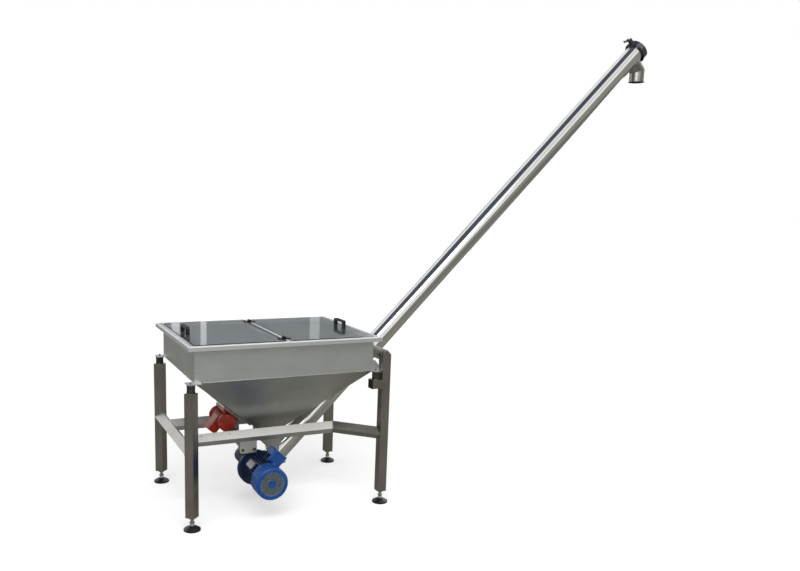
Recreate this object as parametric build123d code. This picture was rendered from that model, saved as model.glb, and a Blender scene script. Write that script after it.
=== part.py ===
from build123d import *
import math
import os

# Inclined screw conveyor: a lidded hopper on rubber buffers feeds a tube that climbs at 45 degrees.
# A worm gear motor at the tube's foot turns the screw, and the spout at its top lets the load fall.
# All lengths are in millimetres. X runs from the hopper towards the outlet, Y away from the motor
# side, Z up. The work is drawn about the middle of the four legs, at floor level, and moved at the end.

# Fits and small gaps
running_fit = 0.05
bolt_clearance = 0.3
soft_gap = 0.3

# Square tube frame
tube_size = 50
tube_wall = 3
base_length = 1090
base_width = 758
leg_bottom = 70
left_leg_top = 727
rail_height = 409
rail_inset = 212
stub_length = 58
end_cap_lip = 4

# Levelling feet
foot_radius = 44
foot_rim_height = 8
foot_cone_height = 18
foot_stem_radius = 8
foot_stem_length = 120
foot_nut_across = 24
foot_nut_height = 10
foot_ball_radius = 11

# Rubber buffers under the hopper
buffer_radius = 22
buffer_waist_radius = 21
buffer_height = 44
buffer_plate = 2
stud_radius = 4
stud_reach = 14
nut_across = 13
nut_height = 6.5

# Hopper
left_skirt_gap = 21
right_skirt_gap = 15
side_skirt_gap = 12
hopper_rim = 37
rim_fold = 20
rim_height = 963
skirt_clearance = 2
sheet = 3
outlet_x = -14
outlet_size = 114
outlet_height = 392
spigot_length = 24
lug_thickness = 4
divider_width = 40
divider_depth = 26

# Lids and their hinges
lid_thickness = 5
lid_inset = 12
lid_hinge_gap = 9
leaf_length = 24
leaf_width = 34
leaf_thickness = 3
knuckle_radius = 6
knuckle_length = 11
hinge_pin_radius = 2.5
hinge_offset = 300
handle_length = 130
handle_height = 42
handle_thickness = 20
handle_leg = 16
handle_inset = 66

# Conveyor tube and screw
conveyor_radius = 57.15
conveyor_wall = 2.5
screw_foot_x = -183.8
tube_start = 326
inlet_section_end = 520
head_section_start = 3700
tube_end = 3850
screw_pitch = 110
screw_radius = 51
flight_thickness = 4
pipe_radius = 17
pipe_wall = 4
pipe_start = 336
pipe_end = 3790
drive_shaft_radius = 15
journal_radius = 12.5
flight_start = 345

# Outlet spout
spout_radius = 48
spout_wall = 2
spout_station = 3782
spout_drop = 105
spout_bottom = 2528
spout_lip = 3
spout_lip_height = 6

# Tube end: ferrule, cap and clamp ring
ferrule_radius = 64
ferrule_thickness = 12
cap_thickness = 12
cap_hub_radius = 28
cap_hub_length = 22
bearing_radius = 21
bow_radius = 3
bow_half = 20
bow_height = 18
clamp_depth = 8
clamp_lip = 6
clamp_lip_thickness = 4
clamp_gap = 5
ear_thickness = 8
bolt_height = 18
ear_rise = 8
swing_bolt_radius = 4
swing_bolt_length = 62
wing_reach = 20

# Saddle that hangs the tube from the portal crossbar
saddle_thickness = 8.85
saddle_length = 120
saddle_width = 170
saddle_wrap = 26
u_bolt_radius = 5
u_bolt_spacing = 86

# Inlet neck, its end plate and sleeve
neck_top = 364
neck_sheet = 3
end_plate_thickness = 8
end_plate_half_width = 78
end_plate_top = 350
sleeve_wall = 4
sleeve_bottom = 352
sleeve_top = 386
band_height = 7
band_thickness = 1.5

# Worm gearbox
gear_station = 189
gear_centres = 110
drum_radius = 96
drum_half = 45
output_half = 77
output_boss_radius = 52
barrel_radius = 46
barrel_end = 104
input_face = 140
input_flange_thickness = 12
input_cone_radius = 66
input_cone_length = 34
wheel_radius = 84
wheel_width = 40
hub_radius = 25
worm_radius = 23
worm_shaft_radius = 15
worm_length = 90
worm_teeth = 40
gear_cover_thickness = 8
seal_housing_radius = 50
seal_flange_radius = 74
seal_flange_thickness = 10

# Motor
flange_radius = 100
flange_thickness = 12
flange_bolt_circle = 82.5
motor_core_radius = 68
fin_radius = 84
fin_thickness = 3
fin_count = 30
motor_bore = 50
end_shield = 14
frame_start = 28
frame_end = 205
fan_cover_radius = 89
fan_cover_start = 200
fan_cover_end = 296
fan_cover_wall = 2
grille_radius = 70
grille_recess = 5
grille_pitch = 9
grille_bar = 2.4
grille_hub = 20
motor_shaft_radius = 12
motor_bearing_radius = 22
rotor_radius = 48
fan_blades = 8
fan_radius = 78
box_base = 84
box_depth = 53
box_half_width = 43
box_start = 50
box_length = 92
box_lid_depth = 15
gland_height = 14

# Hanger and beam that carry the drive
hanger_x = -176
hanger_width = 96
hanger_bottom = 308
hanger_thickness = 6
hanger_bolt_spacing = 66
beam_width = 46
beam_height = 40
beam_wall = 5
beam_z = 336
hanger_bolt_radius = 5

# Vibrator on the hopper's left slope
vibrator_along = 382
vibrator_offset = 71
vibrator_radius = 47
vibrator_half = 78
vibrator_bore = 37
vibrator_cover_radius = 50
vibrator_cover_depth = 24
vibrator_plate = 6
vibrator_box_length = 84
vibrator_box_width = 52
vibrator_box_rise = 46
vibrator_box_across = -20
vibrator_box_up = 24
channel_width = 70
channel_length = 300
channel_height = 12

BASE = (Align.CENTER, Align.CENTER, Align.MIN)
TOP = (Align.CENTER, Align.CENTER, Align.MAX)
MIDDLE = (Align.CENTER, Align.CENTER, Align.CENTER)
DIAGONAL = math.sqrt(0.5)
half_tube = tube_size / 2
hopper_seat = left_leg_top + buffer_height
skirt_bottom = hopper_seat + skirt_clearance
ridge = tube_size * DIAGONAL
leg_x = base_length / 2
leg_y = base_width / 2
rail_y = leg_y - rail_inset
bracing_x = leg_x - rail_inset
pieces = {}


def ring(outer, inner, height, align=BASE):
    return Cylinder(outer, height, align=align) - Cylinder(inner, height, align=align)


def hexagon(across, height, align=BASE):
    return extrude(RegularPolygon(across / 2, 6, major_radius=False), height) if align == BASE else (
        Pos(0, 0, -height) * extrude(RegularPolygon(across / 2, 6, major_radius=False), height))


def bolt(radius, length):
    """A hexagon bolt with its head above Z = 0 and its shank below."""
    return hexagon(radius * 3.2, radius * 1.3) + Cylinder(radius, length, align=TOP)


def nut(radius, across=None):
    across = across or radius * 3.2
    return hexagon(across, radius * 1.6) - Cylinder(radius + running_fit, radius * 1.6, align=BASE)


def block(x0, x1, y0, y1, z0, z1):
    return Pos(x0, y0, z0) * Box(x1 - x0, y1 - y0, z1 - z0, align=(Align.MIN, Align.MIN, Align.MIN))


def side_profile(points, y0, y1):
    """Extrude an outline drawn in X and Z from y0 to y1."""
    face = make_face(Polyline(*[(x, 0, z) for x, z in points], close=True))
    return Pos(0, y0, 0) * extrude(face, y1 - y0, dir=(0, 1, 0))


def mirrored(shape):
    return mirror(shape, Plane.XZ)


def keep_solids(shape):
    return list(shape.solids())


# The screw's own frame: s runs up the slope, w is square to it and points up and back.
def on_axis(s, w=0.0, y=0.0):
    return Vector(screw_foot_x + (s - w) * DIAGONAL, y, (s + w) * DIAGONAL)


def axis_frame(s, w=0.0, y=0.0):
    """Local Z up the slope, local X along world Y, local Y along w."""
    return Plane(origin=on_axis(s, w, y), x_dir=(0, 1, 0), z_dir=(DIAGONAL, 0, DIAGONAL)).location


def axis_block(s0, s1, w0, w1, y0, y1):
    return axis_frame(s0) * block(y0, y1, w0, w1, 0, s1 - s0)


# Frame of square tubes, most of them laid with an edge up
def diamond(start, end, size):
    start, end = Vector(*start), Vector(*end)
    run = end - start
    place = Plane(origin=start, x_dir=run, z_dir=(0, 0, 1)).location
    return place * Rot(45, 0, 0) * Box(run.length, size, size, align=(Align.MIN, Align.CENTER, Align.CENTER))


def diamond_tube(start, end):
    return diamond(start, end, tube_size) - diamond(start, end, tube_size - 2 * tube_wall)


crossbar_w = conveyor_radius + saddle_thickness + half_tube
crossbar_z = leg_x - screw_foot_x + crossbar_w / DIAGONAL
portal_height = crossbar_z + ridge
left_leg_outline = Pos(0, 0, leg_bottom) * Rot(0, 0, 45) * Box(
    tube_size, tube_size, left_leg_top - leg_bottom, align=BASE)


def stem_hole():
    return Pos(0, 0, leg_bottom) * Cylinder(foot_stem_radius + running_fit, 3 * tube_wall, align=MIDDLE)


def left_leg():
    inside = tube_size - 2 * tube_wall
    hollow = Pos(0, 0, leg_bottom + tube_wall) * Rot(0, 0, 45) * Box(
        inside, inside, left_leg_top - leg_bottom - 2 * tube_wall, align=BASE)
    stud = Pos(0, 0, left_leg_top) * Cylinder(stud_radius + bolt_clearance, 3 * tube_wall, align=MIDDLE)
    return left_leg_outline - hollow - stem_hole() - stud


def gable(half, bottom, apex):
    return [(-half, bottom), (half, bottom), (half, apex - half), (0, apex), (-half, apex - half)]


right_leg_outline = side_profile(gable(half_tube, leg_bottom, portal_height), -half_tube, half_tube)
stub_x = -half_tube - stub_length / 2


def right_leg():
    inside = half_tube - tube_wall
    hollow = side_profile(
        gable(inside, leg_bottom + tube_wall, portal_height - tube_wall / DIAGONAL), -inside, inside)
    stub = block(-half_tube - stub_length, -half_tube, -half_tube, half_tube,
                 left_leg_top - tube_size, left_leg_top)
    stub_hollow = block(-half_tube - stub_length, -half_tube, -inside, inside,
                        left_leg_top - tube_size + tube_wall, left_leg_top - tube_wall)
    stud = Pos(stub_x, 0, left_leg_top) * Cylinder(
        stud_radius + bolt_clearance, 3 * tube_wall, align=MIDDLE)
    return (right_leg_outline - hollow + (stub - stub_hollow)) - stem_hole() - stud


def stub_cap():
    inside = half_tube - tube_wall - running_fit
    face = -half_tube - stub_length
    middle = left_leg_top - half_tube
    lip = block(face - end_cap_lip, face, -half_tube, half_tube,
                left_leg_top - tube_size, left_leg_top)
    plug = block(face, face + 12, -inside, inside, middle - inside, middle + inside)
    return lip + plug


left_legs = [Pos(-leg_x, side * leg_y, 0) * left_leg() for side in (-1, 1)]
right_legs = [Pos(leg_x, side * leg_y, 0) * right_leg() for side in (-1, 1)]
pieces["left_legs"] = left_legs
pieces["right_legs"] = right_legs
pieces["stub_end_caps"] = [Pos(leg_x, side * leg_y, 0) * stub_cap() for side in (-1, 1)]

left_rail_line = ((-leg_x, -leg_y, rail_height), (-leg_x, leg_y, rail_height))
left_rail = diamond_tube(*left_rail_line)
for side in (-1, 1):
    left_rail -= Pos(-leg_x, side * leg_y, 0) * left_leg_outline
pieces["left_side_rail"] = [left_rail]

# The long rails stop at a mitre, and braces go on at 45 degrees to the right legs.
mitre_point = (bracing_x, -rail_y, rail_height)
mitre = Plane(origin=mitre_point, z_dir=(1 + DIAGONAL, -DIAGONAL, 0))
overrun = tube_size
long_rail = diamond_tube((-leg_x, -rail_y, rail_height), (bracing_x + overrun, -rail_y, rail_height))
long_rail = split(long_rail, bisect_by=mitre, keep=Keep.BOTTOM) - diamond(*left_rail_line, tube_size)
brace = diamond_tube((bracing_x - overrun, -rail_y + overrun, rail_height), (leg_x, -leg_y, rail_height))
brace = split(brace, bisect_by=mitre, keep=Keep.TOP) - Pos(leg_x, -leg_y, 0) * right_leg_outline
pieces["long_rails"] = [long_rail, mirrored(long_rail)]
pieces["corner_braces"] = [brace, mirrored(brace)]
pieces["portal_crossbar"] = [diamond_tube(
    (leg_x, -leg_y + half_tube, crossbar_z), (leg_x, leg_y - half_tube, crossbar_z))]


# Levelling feet: a moulded pad, a ball and a threaded stem that screws into the leg
def levelling_foot():
    pad = Cylinder(foot_radius, foot_rim_height, align=BASE)
    top = foot_rim_height + foot_cone_height
    pad += Pos(0, 0, foot_rim_height) * Cone(foot_radius, foot_ball_radius + 3, foot_cone_height, align=BASE)
    pad -= Pos(0, 0, foot_rim_height) * Cylinder(foot_ball_radius, foot_cone_height, align=BASE)
    ball = Sphere(foot_ball_radius) & Box(
        4 * foot_ball_radius, 4 * foot_ball_radius, 2 * foot_ball_radius, align=BASE)
    stem = Pos(0, 0, top) * ball
    stem += Pos(0, 0, foot_rim_height) * Cylinder(foot_ball_radius - running_fit, foot_cone_height, align=BASE)
    stem += Pos(0, 0, top) * Cylinder(foot_stem_radius, foot_stem_length, align=BASE)
    stem += Pos(0, 0, top + foot_ball_radius) * hexagon(foot_nut_across, foot_nut_height)
    return [pad, stem]


corners = {
    "left_front_foot": (-leg_x, -leg_y),
    "right_front_foot": (leg_x, -leg_y),
    "right_back_foot": (leg_x, leg_y),
    "left_back_foot": (-leg_x, leg_y),
}
for name, (x, y) in corners.items():
    pieces[name] = [Pos(x, y, 0) * part for part in levelling_foot()]
lock_nut = Pos(0, 0, leg_bottom - foot_nut_height) * (
    hexagon(foot_nut_across, foot_nut_height)
    - Cylinder(foot_stem_radius + running_fit, foot_nut_height, align=BASE))
foot_lock_nuts = [Pos(x, y, 0) * lock_nut for x, y in corners.values()]

# Rubber buffers: steel plates with studs bonded to a waisted rubber block, a nut on the lug above
buffer_places = [(-leg_x, -leg_y), (-leg_x, leg_y), (leg_x + stub_x, -leg_y), (leg_x + stub_x, leg_y)]


def rubber_block():
    low = buffer_plate
    high = buffer_height - buffer_plate
    middle = buffer_height / 2
    outline = Polyline((0, 0, low), (buffer_radius, 0, low)) + ThreePointArc(
        (buffer_radius, 0, low), (buffer_waist_radius, 0, middle), (buffer_radius, 0, high))
    outline += Polyline((buffer_radius, 0, high), (0, 0, high), (0, 0, low))
    return revolve(make_face(outline), Axis.Z)


def buffer_plates():
    lower = Cylinder(buffer_radius - 1, buffer_plate, align=BASE) + Cylinder(stud_radius, stud_reach, align=TOP)
    upper = Pos(0, 0, buffer_height) * (
        Cylinder(buffer_radius - 1, buffer_plate, align=TOP) + Cylinder(stud_radius, stud_reach, align=BASE))
    return [lower, upper]


pieces["rubber_buffers"] = [Pos(x, y, left_leg_top) * rubber_block() for x, y in buffer_places]
pieces["buffer_studs"] = [
    Pos(x, y, left_leg_top) * part for x, y in buffer_places for part in buffer_plates()]
pieces["lock_nuts"] = foot_lock_nuts + [
    Pos(x, y, hopper_seat + lug_thickness) * nut(stud_radius) for x, y in buffer_places]

# Hopper: folded rim, straight skirt, four sloping walls and a square spigot, welded from sheet
skirt_left = -leg_x + left_skirt_gap
skirt_right = leg_x + stub_x - right_skirt_gap
hopper_length = skirt_right - skirt_left
hopper_width = base_width - 2 * side_skirt_gap
hopper_x = (skirt_left + skirt_right) / 2
skirt_front = -hopper_width / 2


def flat_sided(bottom, top):
    """A solid with flat faces between two outlines that have the same number of corners."""
    count = len(bottom)
    outlines = [bottom, top]
    outlines += [[bottom[i - 1], bottom[i], top[i], top[i - 1]] for i in range(count)]
    solid = Solid(Shell([Face(Wire.make_polygon([Vector(*point) for point in outline]))
                         for outline in outlines]))
    return solid if solid.volume > 0 else Solid(solid.wrapped.Reversed())


def rectangle(x, length, width, z):
    return [(x + i * length / 2, j * width / 2, z) for i, j in ((-1, -1), (1, -1), (1, 1), (-1, 1))]


def four_sheets(outer_bottom, inner_bottom, outer_top, inner_top):
    """Four sheets with mitred corners between an outer and an inner funnel."""
    sheets = []
    for i in range(4):
        bottom = [outer_bottom[i - 1], outer_bottom[i], inner_bottom[i], inner_bottom[i - 1]]
        top = [outer_top[i - 1], outer_top[i], inner_top[i], inner_top[i - 1]]
        sheets.append(flat_sided(bottom, top))
    return sheets


def sheet_ring(x, length, width, thickness, bottom, top):
    outer = [rectangle(x, length, width, z) for z in (bottom, top)]
    inner = [rectangle(x, length - 2 * thickness, width - 2 * thickness, z) for z in (bottom, top)]
    return four_sheets(outer[0], inner[0], outer[1], inner[1])


def hopper_sheets():
    """The rim's flange and fold, the skirt, the slopes and the spigot, four sheets of each."""
    rim_length = hopper_length + 2 * hopper_rim
    rim_width = hopper_width + 2 * hopper_rim
    sheets = sheet_ring(hopper_x, rim_length, rim_width, hopper_rim, rim_height - sheet, rim_height)
    sheets += sheet_ring(hopper_x, rim_length, rim_width, sheet, rim_height - rim_fold, rim_height - sheet)
    sheets += sheet_ring(hopper_x, hopper_length, hopper_width, sheet, skirt_bottom, rim_height)
    sheets += four_sheets(
        rectangle(outlet_x, outlet_size, outlet_size, outlet_height),
        rectangle(outlet_x, outlet_size - 2 * sheet, outlet_size - 2 * sheet, outlet_height),
        rectangle(hopper_x, hopper_length, hopper_width, skirt_bottom),
        rectangle(hopper_x, hopper_length - 2 * sheet, hopper_width - 2 * sheet, skirt_bottom))
    sheets += sheet_ring(outlet_x, outlet_size, outlet_size, sheet,
                         outlet_height - spigot_length, outlet_height)
    return sheets


def upright(x, length, width, bottom, top):
    return Pos(x, 0, bottom) * Box(length, width, top - bottom, align=BASE)


pieces["hopper_body"] = hopper_sheets()


def divider():
    """A folded channel, open below, across the middle of the hopper's mouth."""
    reach = hopper_width / 2 - sheet
    outside = block(-divider_width / 2, divider_width / 2, -reach, reach, -divider_depth, 0)
    inside = block(-divider_width / 2 + sheet, divider_width / 2 - sheet, -reach, reach,
                   -divider_depth, -sheet)
    return Pos(hopper_x, 0, rim_height) * (outside - inside)


pieces["divider_bar"] = [divider()]


# Lugs that stand the hopper on its buffers: tabs on the left, bolted angle brackets on the right
def stud_hole(x):
    return Pos(x, -leg_y, hopper_seat) * Cylinder(stud_radius + bolt_clearance, 3 * lug_thickness, align=MIDDLE)


def left_lug():
    reach = buffer_radius
    tab = block(-leg_x - reach, skirt_left + 30, -leg_y - reach, skirt_front,
                hopper_seat, hopper_seat + lug_thickness)
    tab += block(-leg_x - reach, skirt_left, skirt_front, skirt_front + 30,
                 hopper_seat, hopper_seat + lug_thickness)
    return tab - stud_hole(-leg_x)


bracket_height = 62
bracket_reach = 40


def right_bracket():
    x0 = skirt_right
    x1 = skirt_right + bracket_reach
    shelf = block(x0, x1, -leg_y - 20, -leg_y + 40, hopper_seat, hopper_seat + lug_thickness)
    back = block(x0, x0 + lug_thickness, -leg_y + 12, -leg_y + 40, hopper_seat, hopper_seat + bracket_height)
    cheek = side_profile([(x0, hopper_seat), (x1, hopper_seat), (x1, hopper_seat + bracket_height * 0.45),
                          (x0 + lug_thickness * 3, hopper_seat + bracket_height),
                          (x0, hopper_seat + bracket_height)], -leg_y + 8, -leg_y + 12)
    return shelf + back + cheek - stud_hole(leg_x + stub_x)


lugs = [left_lug(), right_bracket()]
pieces["hopper_lugs"] = lugs + [mirrored(lug) for lug in lugs]

# Lids: clear panes that lift at the divider, each on two hinges, with a bridge handle
hinge_z = rim_height + lid_thickness + knuckle_radius
pane_near = lid_hinge_gap
pane_far = hopper_length / 2 + hopper_rim - lid_inset
pane_half = hopper_width / 2 + hopper_rim - lid_inset
handle_at = pane_far - handle_inset
screw_reach = lid_thickness
knuckle_step = knuckle_length + soft_gap
hinge_foot = lid_hinge_gap - 2


def pane():
    """The lid on the plus X side, drawn about the hinge line."""
    shape = block(pane_near, pane_far, -pane_half, pane_half, 0, lid_thickness)
    for side in (-1, 1):
        end = side * (handle_length - handle_leg) / 2
        shape -= Pos(handle_at, end, 0) * Cylinder(2.5 + bolt_clearance, lid_thickness, align=BASE)
    return shape


def bridge_handle():
    half = handle_length / 2
    outside = block(-handle_thickness / 2, handle_thickness / 2, -half, half, 0, handle_height)
    outside = fillet(outside.edges().filter_by(Axis.X).group_by(Axis.Z)[-1], 12)
    grip = handle_leg
    finger = block(-handle_thickness, handle_thickness, -half + grip, half - grip, -1, handle_height - 12)
    shape = outside - finger
    for side in (-1, 1):
        shape += Pos(0, side * (half - handle_leg / 2), 0) * Cylinder(2.5, screw_reach, align=TOP)
    return Pos(handle_at, 0, lid_thickness) * shape


def knuckle(y0, length):
    barrel = Rot(90, 0, 0) * ring(knuckle_radius, hinge_pin_radius + running_fit, length, MIDDLE)
    return Pos(0, y0 + length / 2, lid_thickness + knuckle_radius) * barrel


def leaf(y0):
    """A hinge leaf on the pane with one knuckle, which starts at y0."""
    plate = block(0, pane_near + leaf_length, -leaf_width / 2, leaf_width / 2, 0, leaf_thickness)
    plate = fillet(plate.edges().filter_by(Axis.Z).group_by(Axis.X)[-1], 6)
    bore = Rot(90, 0, 0) * Cylinder(knuckle_radius + soft_gap, 4 * leaf_width)
    plate = Pos(0, 0, lid_thickness) * plate - Pos(0, 0, lid_thickness + knuckle_radius) * bore
    plate -= block(-1, hinge_foot + soft_gap, -knuckle_step / 2, knuckle_step / 2, 0, 4 * leaf_thickness)
    tongue = block(0, pane_near + 2, y0, y0 + knuckle_length, lid_thickness, lid_thickness + leaf_thickness)
    tongue -= Pos(0, 0, lid_thickness + knuckle_radius) * Rot(90, 0, 0) * Cylinder(
        hinge_pin_radius + running_fit, 4 * leaf_width)
    return plate + tongue + knuckle(y0, knuckle_length)


turned = Rot(0, 0, 180)
at_hinge = Pos(hopper_x, 0, rim_height)
right_leaves = [Pos(0, side * hinge_offset, 0) * leaf(knuckle_step / 2 + soft_gap) for side in (-1, 1)]
left_leaves = [Pos(0, side * hinge_offset, 0) * turned * leaf(knuckle_step / 2 + soft_gap) for side in (-1, 1)]
pieces["right_lid"] = [at_hinge * pane()]
pieces["left_lid"] = [at_hinge * turned * pane()]
pieces["right_lid_handle"] = [at_hinge * bridge_handle()]
pieces["left_lid_handle"] = [at_hinge * turned * bridge_handle()]
pieces["right_hinge_leaves"] = [at_hinge * shape for shape in right_leaves]
pieces["left_hinge_leaves"] = [at_hinge * shape for shape in left_leaves]


def hinge_base():
    """The middle knuckle with its foot on the divider, and the pin pressed through it."""
    half = knuckle_step / 2 - soft_gap / 2
    foot = block(-hinge_foot, hinge_foot, -half, half, 0, lid_thickness + knuckle_radius)
    barrel = Pos(0, 0, lid_thickness + knuckle_radius) * Rot(90, 0, 0) * Cylinder(knuckle_radius, 2 * half)
    pin = Pos(0, 0, lid_thickness + knuckle_radius) * Rot(90, 0, 0) * Cylinder(
        hinge_pin_radius, 2 * half + 2 * knuckle_length + 4 * soft_gap)
    return foot + barrel + pin


pieces["hinge_bases"] = [at_hinge * Pos(0, side * hinge_offset, 0) * hinge_base() for side in (-1, 1)]


bore_radius = conveyor_radius - conveyor_wall


# Inlet neck: walls below the hopper's spigot, closed at the foot by a plate square to the tube
def neck_solid(inset):
    half = outlet_size / 2 - inset
    left, right = outlet_x - half, outlet_x + half
    body = block(left, right, -half, half, 150, neck_top)
    start = tube_start
    return body - axis_block(start - 400, start, -300, 500, -200, 200)


tube_outside = axis_frame(tube_start) * Cylinder(conveyor_radius, tube_end - tube_start, align=BASE)


def tube_length(start, end):
    return axis_frame(start) * ring(conveyor_radius, bore_radius, end - start)


neck_walls = neck_solid(0) - neck_solid(neck_sheet) - axis_frame(0) * Cylinder(
    conveyor_radius, tube_end, align=BASE)
neck_walls = [solid for solid in neck_walls.solids() if solid.center().Z > on_axis(tube_start).Z]

plate_face = tube_start - end_plate_thickness
plate_round = axis_frame(plate_face) * Cylinder(end_plate_half_width, end_plate_thickness, align=BASE)
plate_tall = axis_block(plate_face, tube_start, 0, 300, -end_plate_half_width, end_plate_half_width)
plate_tall -= Pos(0, 0, end_plate_top) * Box(2 * hopper_length, hopper_width, rim_height, align=BASE)
end_plate = plate_round + plate_tall - axis_frame(plate_face) * Cylinder(30, end_plate_thickness, align=BASE)
seal_bolt_radius = 4
seal_bolt_circle = 62
seal_bolt_places = [PolarLocations(seal_bolt_circle, 6, 30).locations[i] for i in range(6)]
for place in seal_bolt_places:
    end_plate -= axis_frame(plate_face) * place * Cylinder(
        seal_bolt_radius + bolt_clearance, end_plate_thickness, align=BASE)
pieces["inlet_neck"] = [wall + end_plate for wall in neck_walls]


def square_ring(outer, inner, bottom, top):
    return upright(outlet_x, outer, outer, bottom, top) - upright(outlet_x, inner, inner, bottom, top)


sleeve_inner = outlet_size + 2 * soft_gap
sleeve_outer = sleeve_inner + 2 * sleeve_wall
pieces["inlet_sleeve"] = [square_ring(sleeve_outer, sleeve_inner, sleeve_bottom, sleeve_top)]
band_inner = sleeve_outer + 2 * running_fit
pieces["sleeve_bands"] = [
    square_ring(band_inner + 2 * band_thickness, band_inner, z, z + band_height)
    for z in (sleeve_bottom + 2, sleeve_top - band_height - 2)]

# Conveyor tube with its welded ferrule, cut open under the neck and over the spout
ferrule = axis_frame(tube_end - ferrule_thickness) * ring(ferrule_radius, bore_radius, ferrule_thickness)
spout_turn = on_axis(spout_station, -spout_drop)
stub_line = Plane(origin=on_axis(spout_station), x_dir=(0, 1, 0), z_dir=(DIAGONAL, 0, -DIAGONAL)).location
spout_bend = Plane(origin=spout_turn, z_dir=(DIAGONAL, 0, -DIAGONAL - 1))
spout_hole = stub_line * Cylinder(spout_radius - spout_wall, spout_drop, align=BASE)
inlet_section = tube_length(tube_start, inlet_section_end) - neck_solid(neck_sheet)
plain_length = tube_length(inlet_section_end, head_section_start)
head_section = tube_length(head_section_start, tube_end) + ferrule - spout_hole
pieces["conveyor_tube"] = [inlet_section, plain_length, head_section]


def spout(radius, bottom):
    """The leaning stub and the upright drop of a pipe that is mitred where it turns."""
    long_reach = spout_drop + 2 * radius
    stub = split(stub_line * Cylinder(radius, long_reach, align=BASE), bisect_by=spout_bend, keep=Keep.BOTTOM)
    drop = Pos(spout_turn.X, 0, bottom) * Cylinder(radius, spout_turn.Z - bottom + 2 * radius, align=BASE)
    return stub, split(drop, bisect_by=spout_bend, keep=Keep.TOP)


stub_outside, drop_outside = spout(spout_radius, spout_bottom)
stub_inside, drop_inside = spout(spout_radius - spout_wall, spout_bottom)
drop_outside += Pos(spout_turn.X, 0, spout_bottom) * Cylinder(
    spout_radius + spout_lip, spout_lip_height, align=BASE)
pieces["outlet_spout"] = [stub_outside - stub_inside - tube_outside, drop_outside - drop_inside]

# End cap with the upper bearing, held on by a two-part clamp ring
cap = Cylinder(ferrule_radius, cap_thickness, align=BASE) + Cylinder(cap_hub_radius, cap_hub_length, align=TOP)
cap -= Pos(0, 0, -cap_hub_length) * Cylinder(bearing_radius, cap_hub_length + 3, align=BASE)
bow_path = Line((0, -bow_half, cap_thickness - 2), (0, -bow_half, cap_thickness)) + ThreePointArc(
    (0, -bow_half, cap_thickness), (0, 0, cap_thickness + bow_height), (0, bow_half, cap_thickness))
bow_path += Line((0, bow_half, cap_thickness), (0, bow_half, cap_thickness - 2))
cap += sweep(Pos(0, -bow_half, cap_thickness - 2) * Circle(bow_radius), path=bow_path)
pieces["tube_end_cap"] = [axis_frame(tube_end) * cap]

clamp_outer = ferrule_radius + clamp_depth
clamp_start = tube_end - ferrule_thickness - clamp_lip_thickness
clamp_width = ferrule_thickness + cap_thickness + 2 * clamp_lip_thickness
ear_w = clamp_outer + bolt_height
pivot_y = -(clamp_gap / 2 + ear_thickness / 2)
eye_radius = 7
pivot_pin_radius = 2.5
nut_side_rise = 2.8


def clamp_half(side):
    """Half of the clamp ring; its ear carries the swing bolt at the top. Side is the sign of Y."""
    outside = Cylinder(clamp_outer, clamp_width, align=BASE)
    channel = Pos(0, 0, clamp_lip_thickness - running_fit) * Cylinder(
        ferrule_radius + running_fit, ferrule_thickness + cap_thickness + 2 * running_fit, align=BASE)
    mouth = Cylinder(ferrule_radius - clamp_lip, clamp_width, align=BASE)
    shape = outside - channel - mouth
    low, high = sorted((side * clamp_gap / 2, side * 200))
    shape = shape & block(low, high, -200, 200, -1, clamp_width + 1)
    inner, outer = sorted((side * clamp_gap / 2, side * (clamp_gap / 2 + ear_thickness)))
    top = ear_w + (ear_rise if side < 0 else nut_side_rise)
    ear = block(inner, outer, clamp_outer - clamp_lip, top, clamp_lip, clamp_width - clamp_lip)
    knob = block(inner, outer, -clamp_outer - clamp_lip, -clamp_outer + clamp_lip / 2,
                 clamp_lip, clamp_width - clamp_lip)
    slot_half = swing_bolt_radius + 2 * soft_gap
    slot = block(inner - 1, outer + 1, ear_w - eye_radius - 1, top + 1,
                 clamp_width / 2 - slot_half, clamp_width / 2 + slot_half)
    shape = shape + ear + knob - slot
    if side < 0:
        shape += Pos(pivot_y, ear_w, clamp_lip) * Cylinder(pivot_pin_radius, clamp_width - 2 * clamp_lip, align=BASE)
    return shape


pieces["clamp_ring"] = [axis_frame(clamp_start) * clamp_half(side) for side in (-1, 1)]


def swing_bolt():
    """An eye bolt that turns on its pin in the slotted ear and lies across both ears when shut."""
    slot_half = swing_bolt_radius + soft_gap
    eye = Cylinder(eye_radius, 2 * slot_half, align=MIDDLE) & Box(
        ear_thickness - 1, 4 * eye_radius, 4 * eye_radius)
    shank = Rot(0, 90, 0) * Cylinder(swing_bolt_radius, swing_bolt_length, align=BASE)
    hole = Cylinder(pivot_pin_radius + running_fit, clamp_width)
    return Pos(pivot_y, ear_w, clamp_width / 2) * (eye + shank - hole)


pieces["swing_bolt"] = [axis_frame(clamp_start) * swing_bolt()]


def wing_nut():
    body = Cylinder(9, 12, align=BASE) - Cylinder(swing_bolt_radius + running_fit, 12, align=BASE)
    for side in (-1, 1):
        tip = side * wing_reach
        wing = side_profile([(side * 7, 1), (side * 7, 10), (tip * 0.6, 26), (tip, 26), (tip, 18)], -2, 2)
        body += wing
    return body


nut_seat = clamp_gap / 2 + ear_thickness + soft_gap
pieces["wing_nut"] = [axis_frame(clamp_start) * Pos(nut_seat, ear_w, clamp_width / 2) * Rot(0, 90, 0) * wing_nut()]

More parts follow.
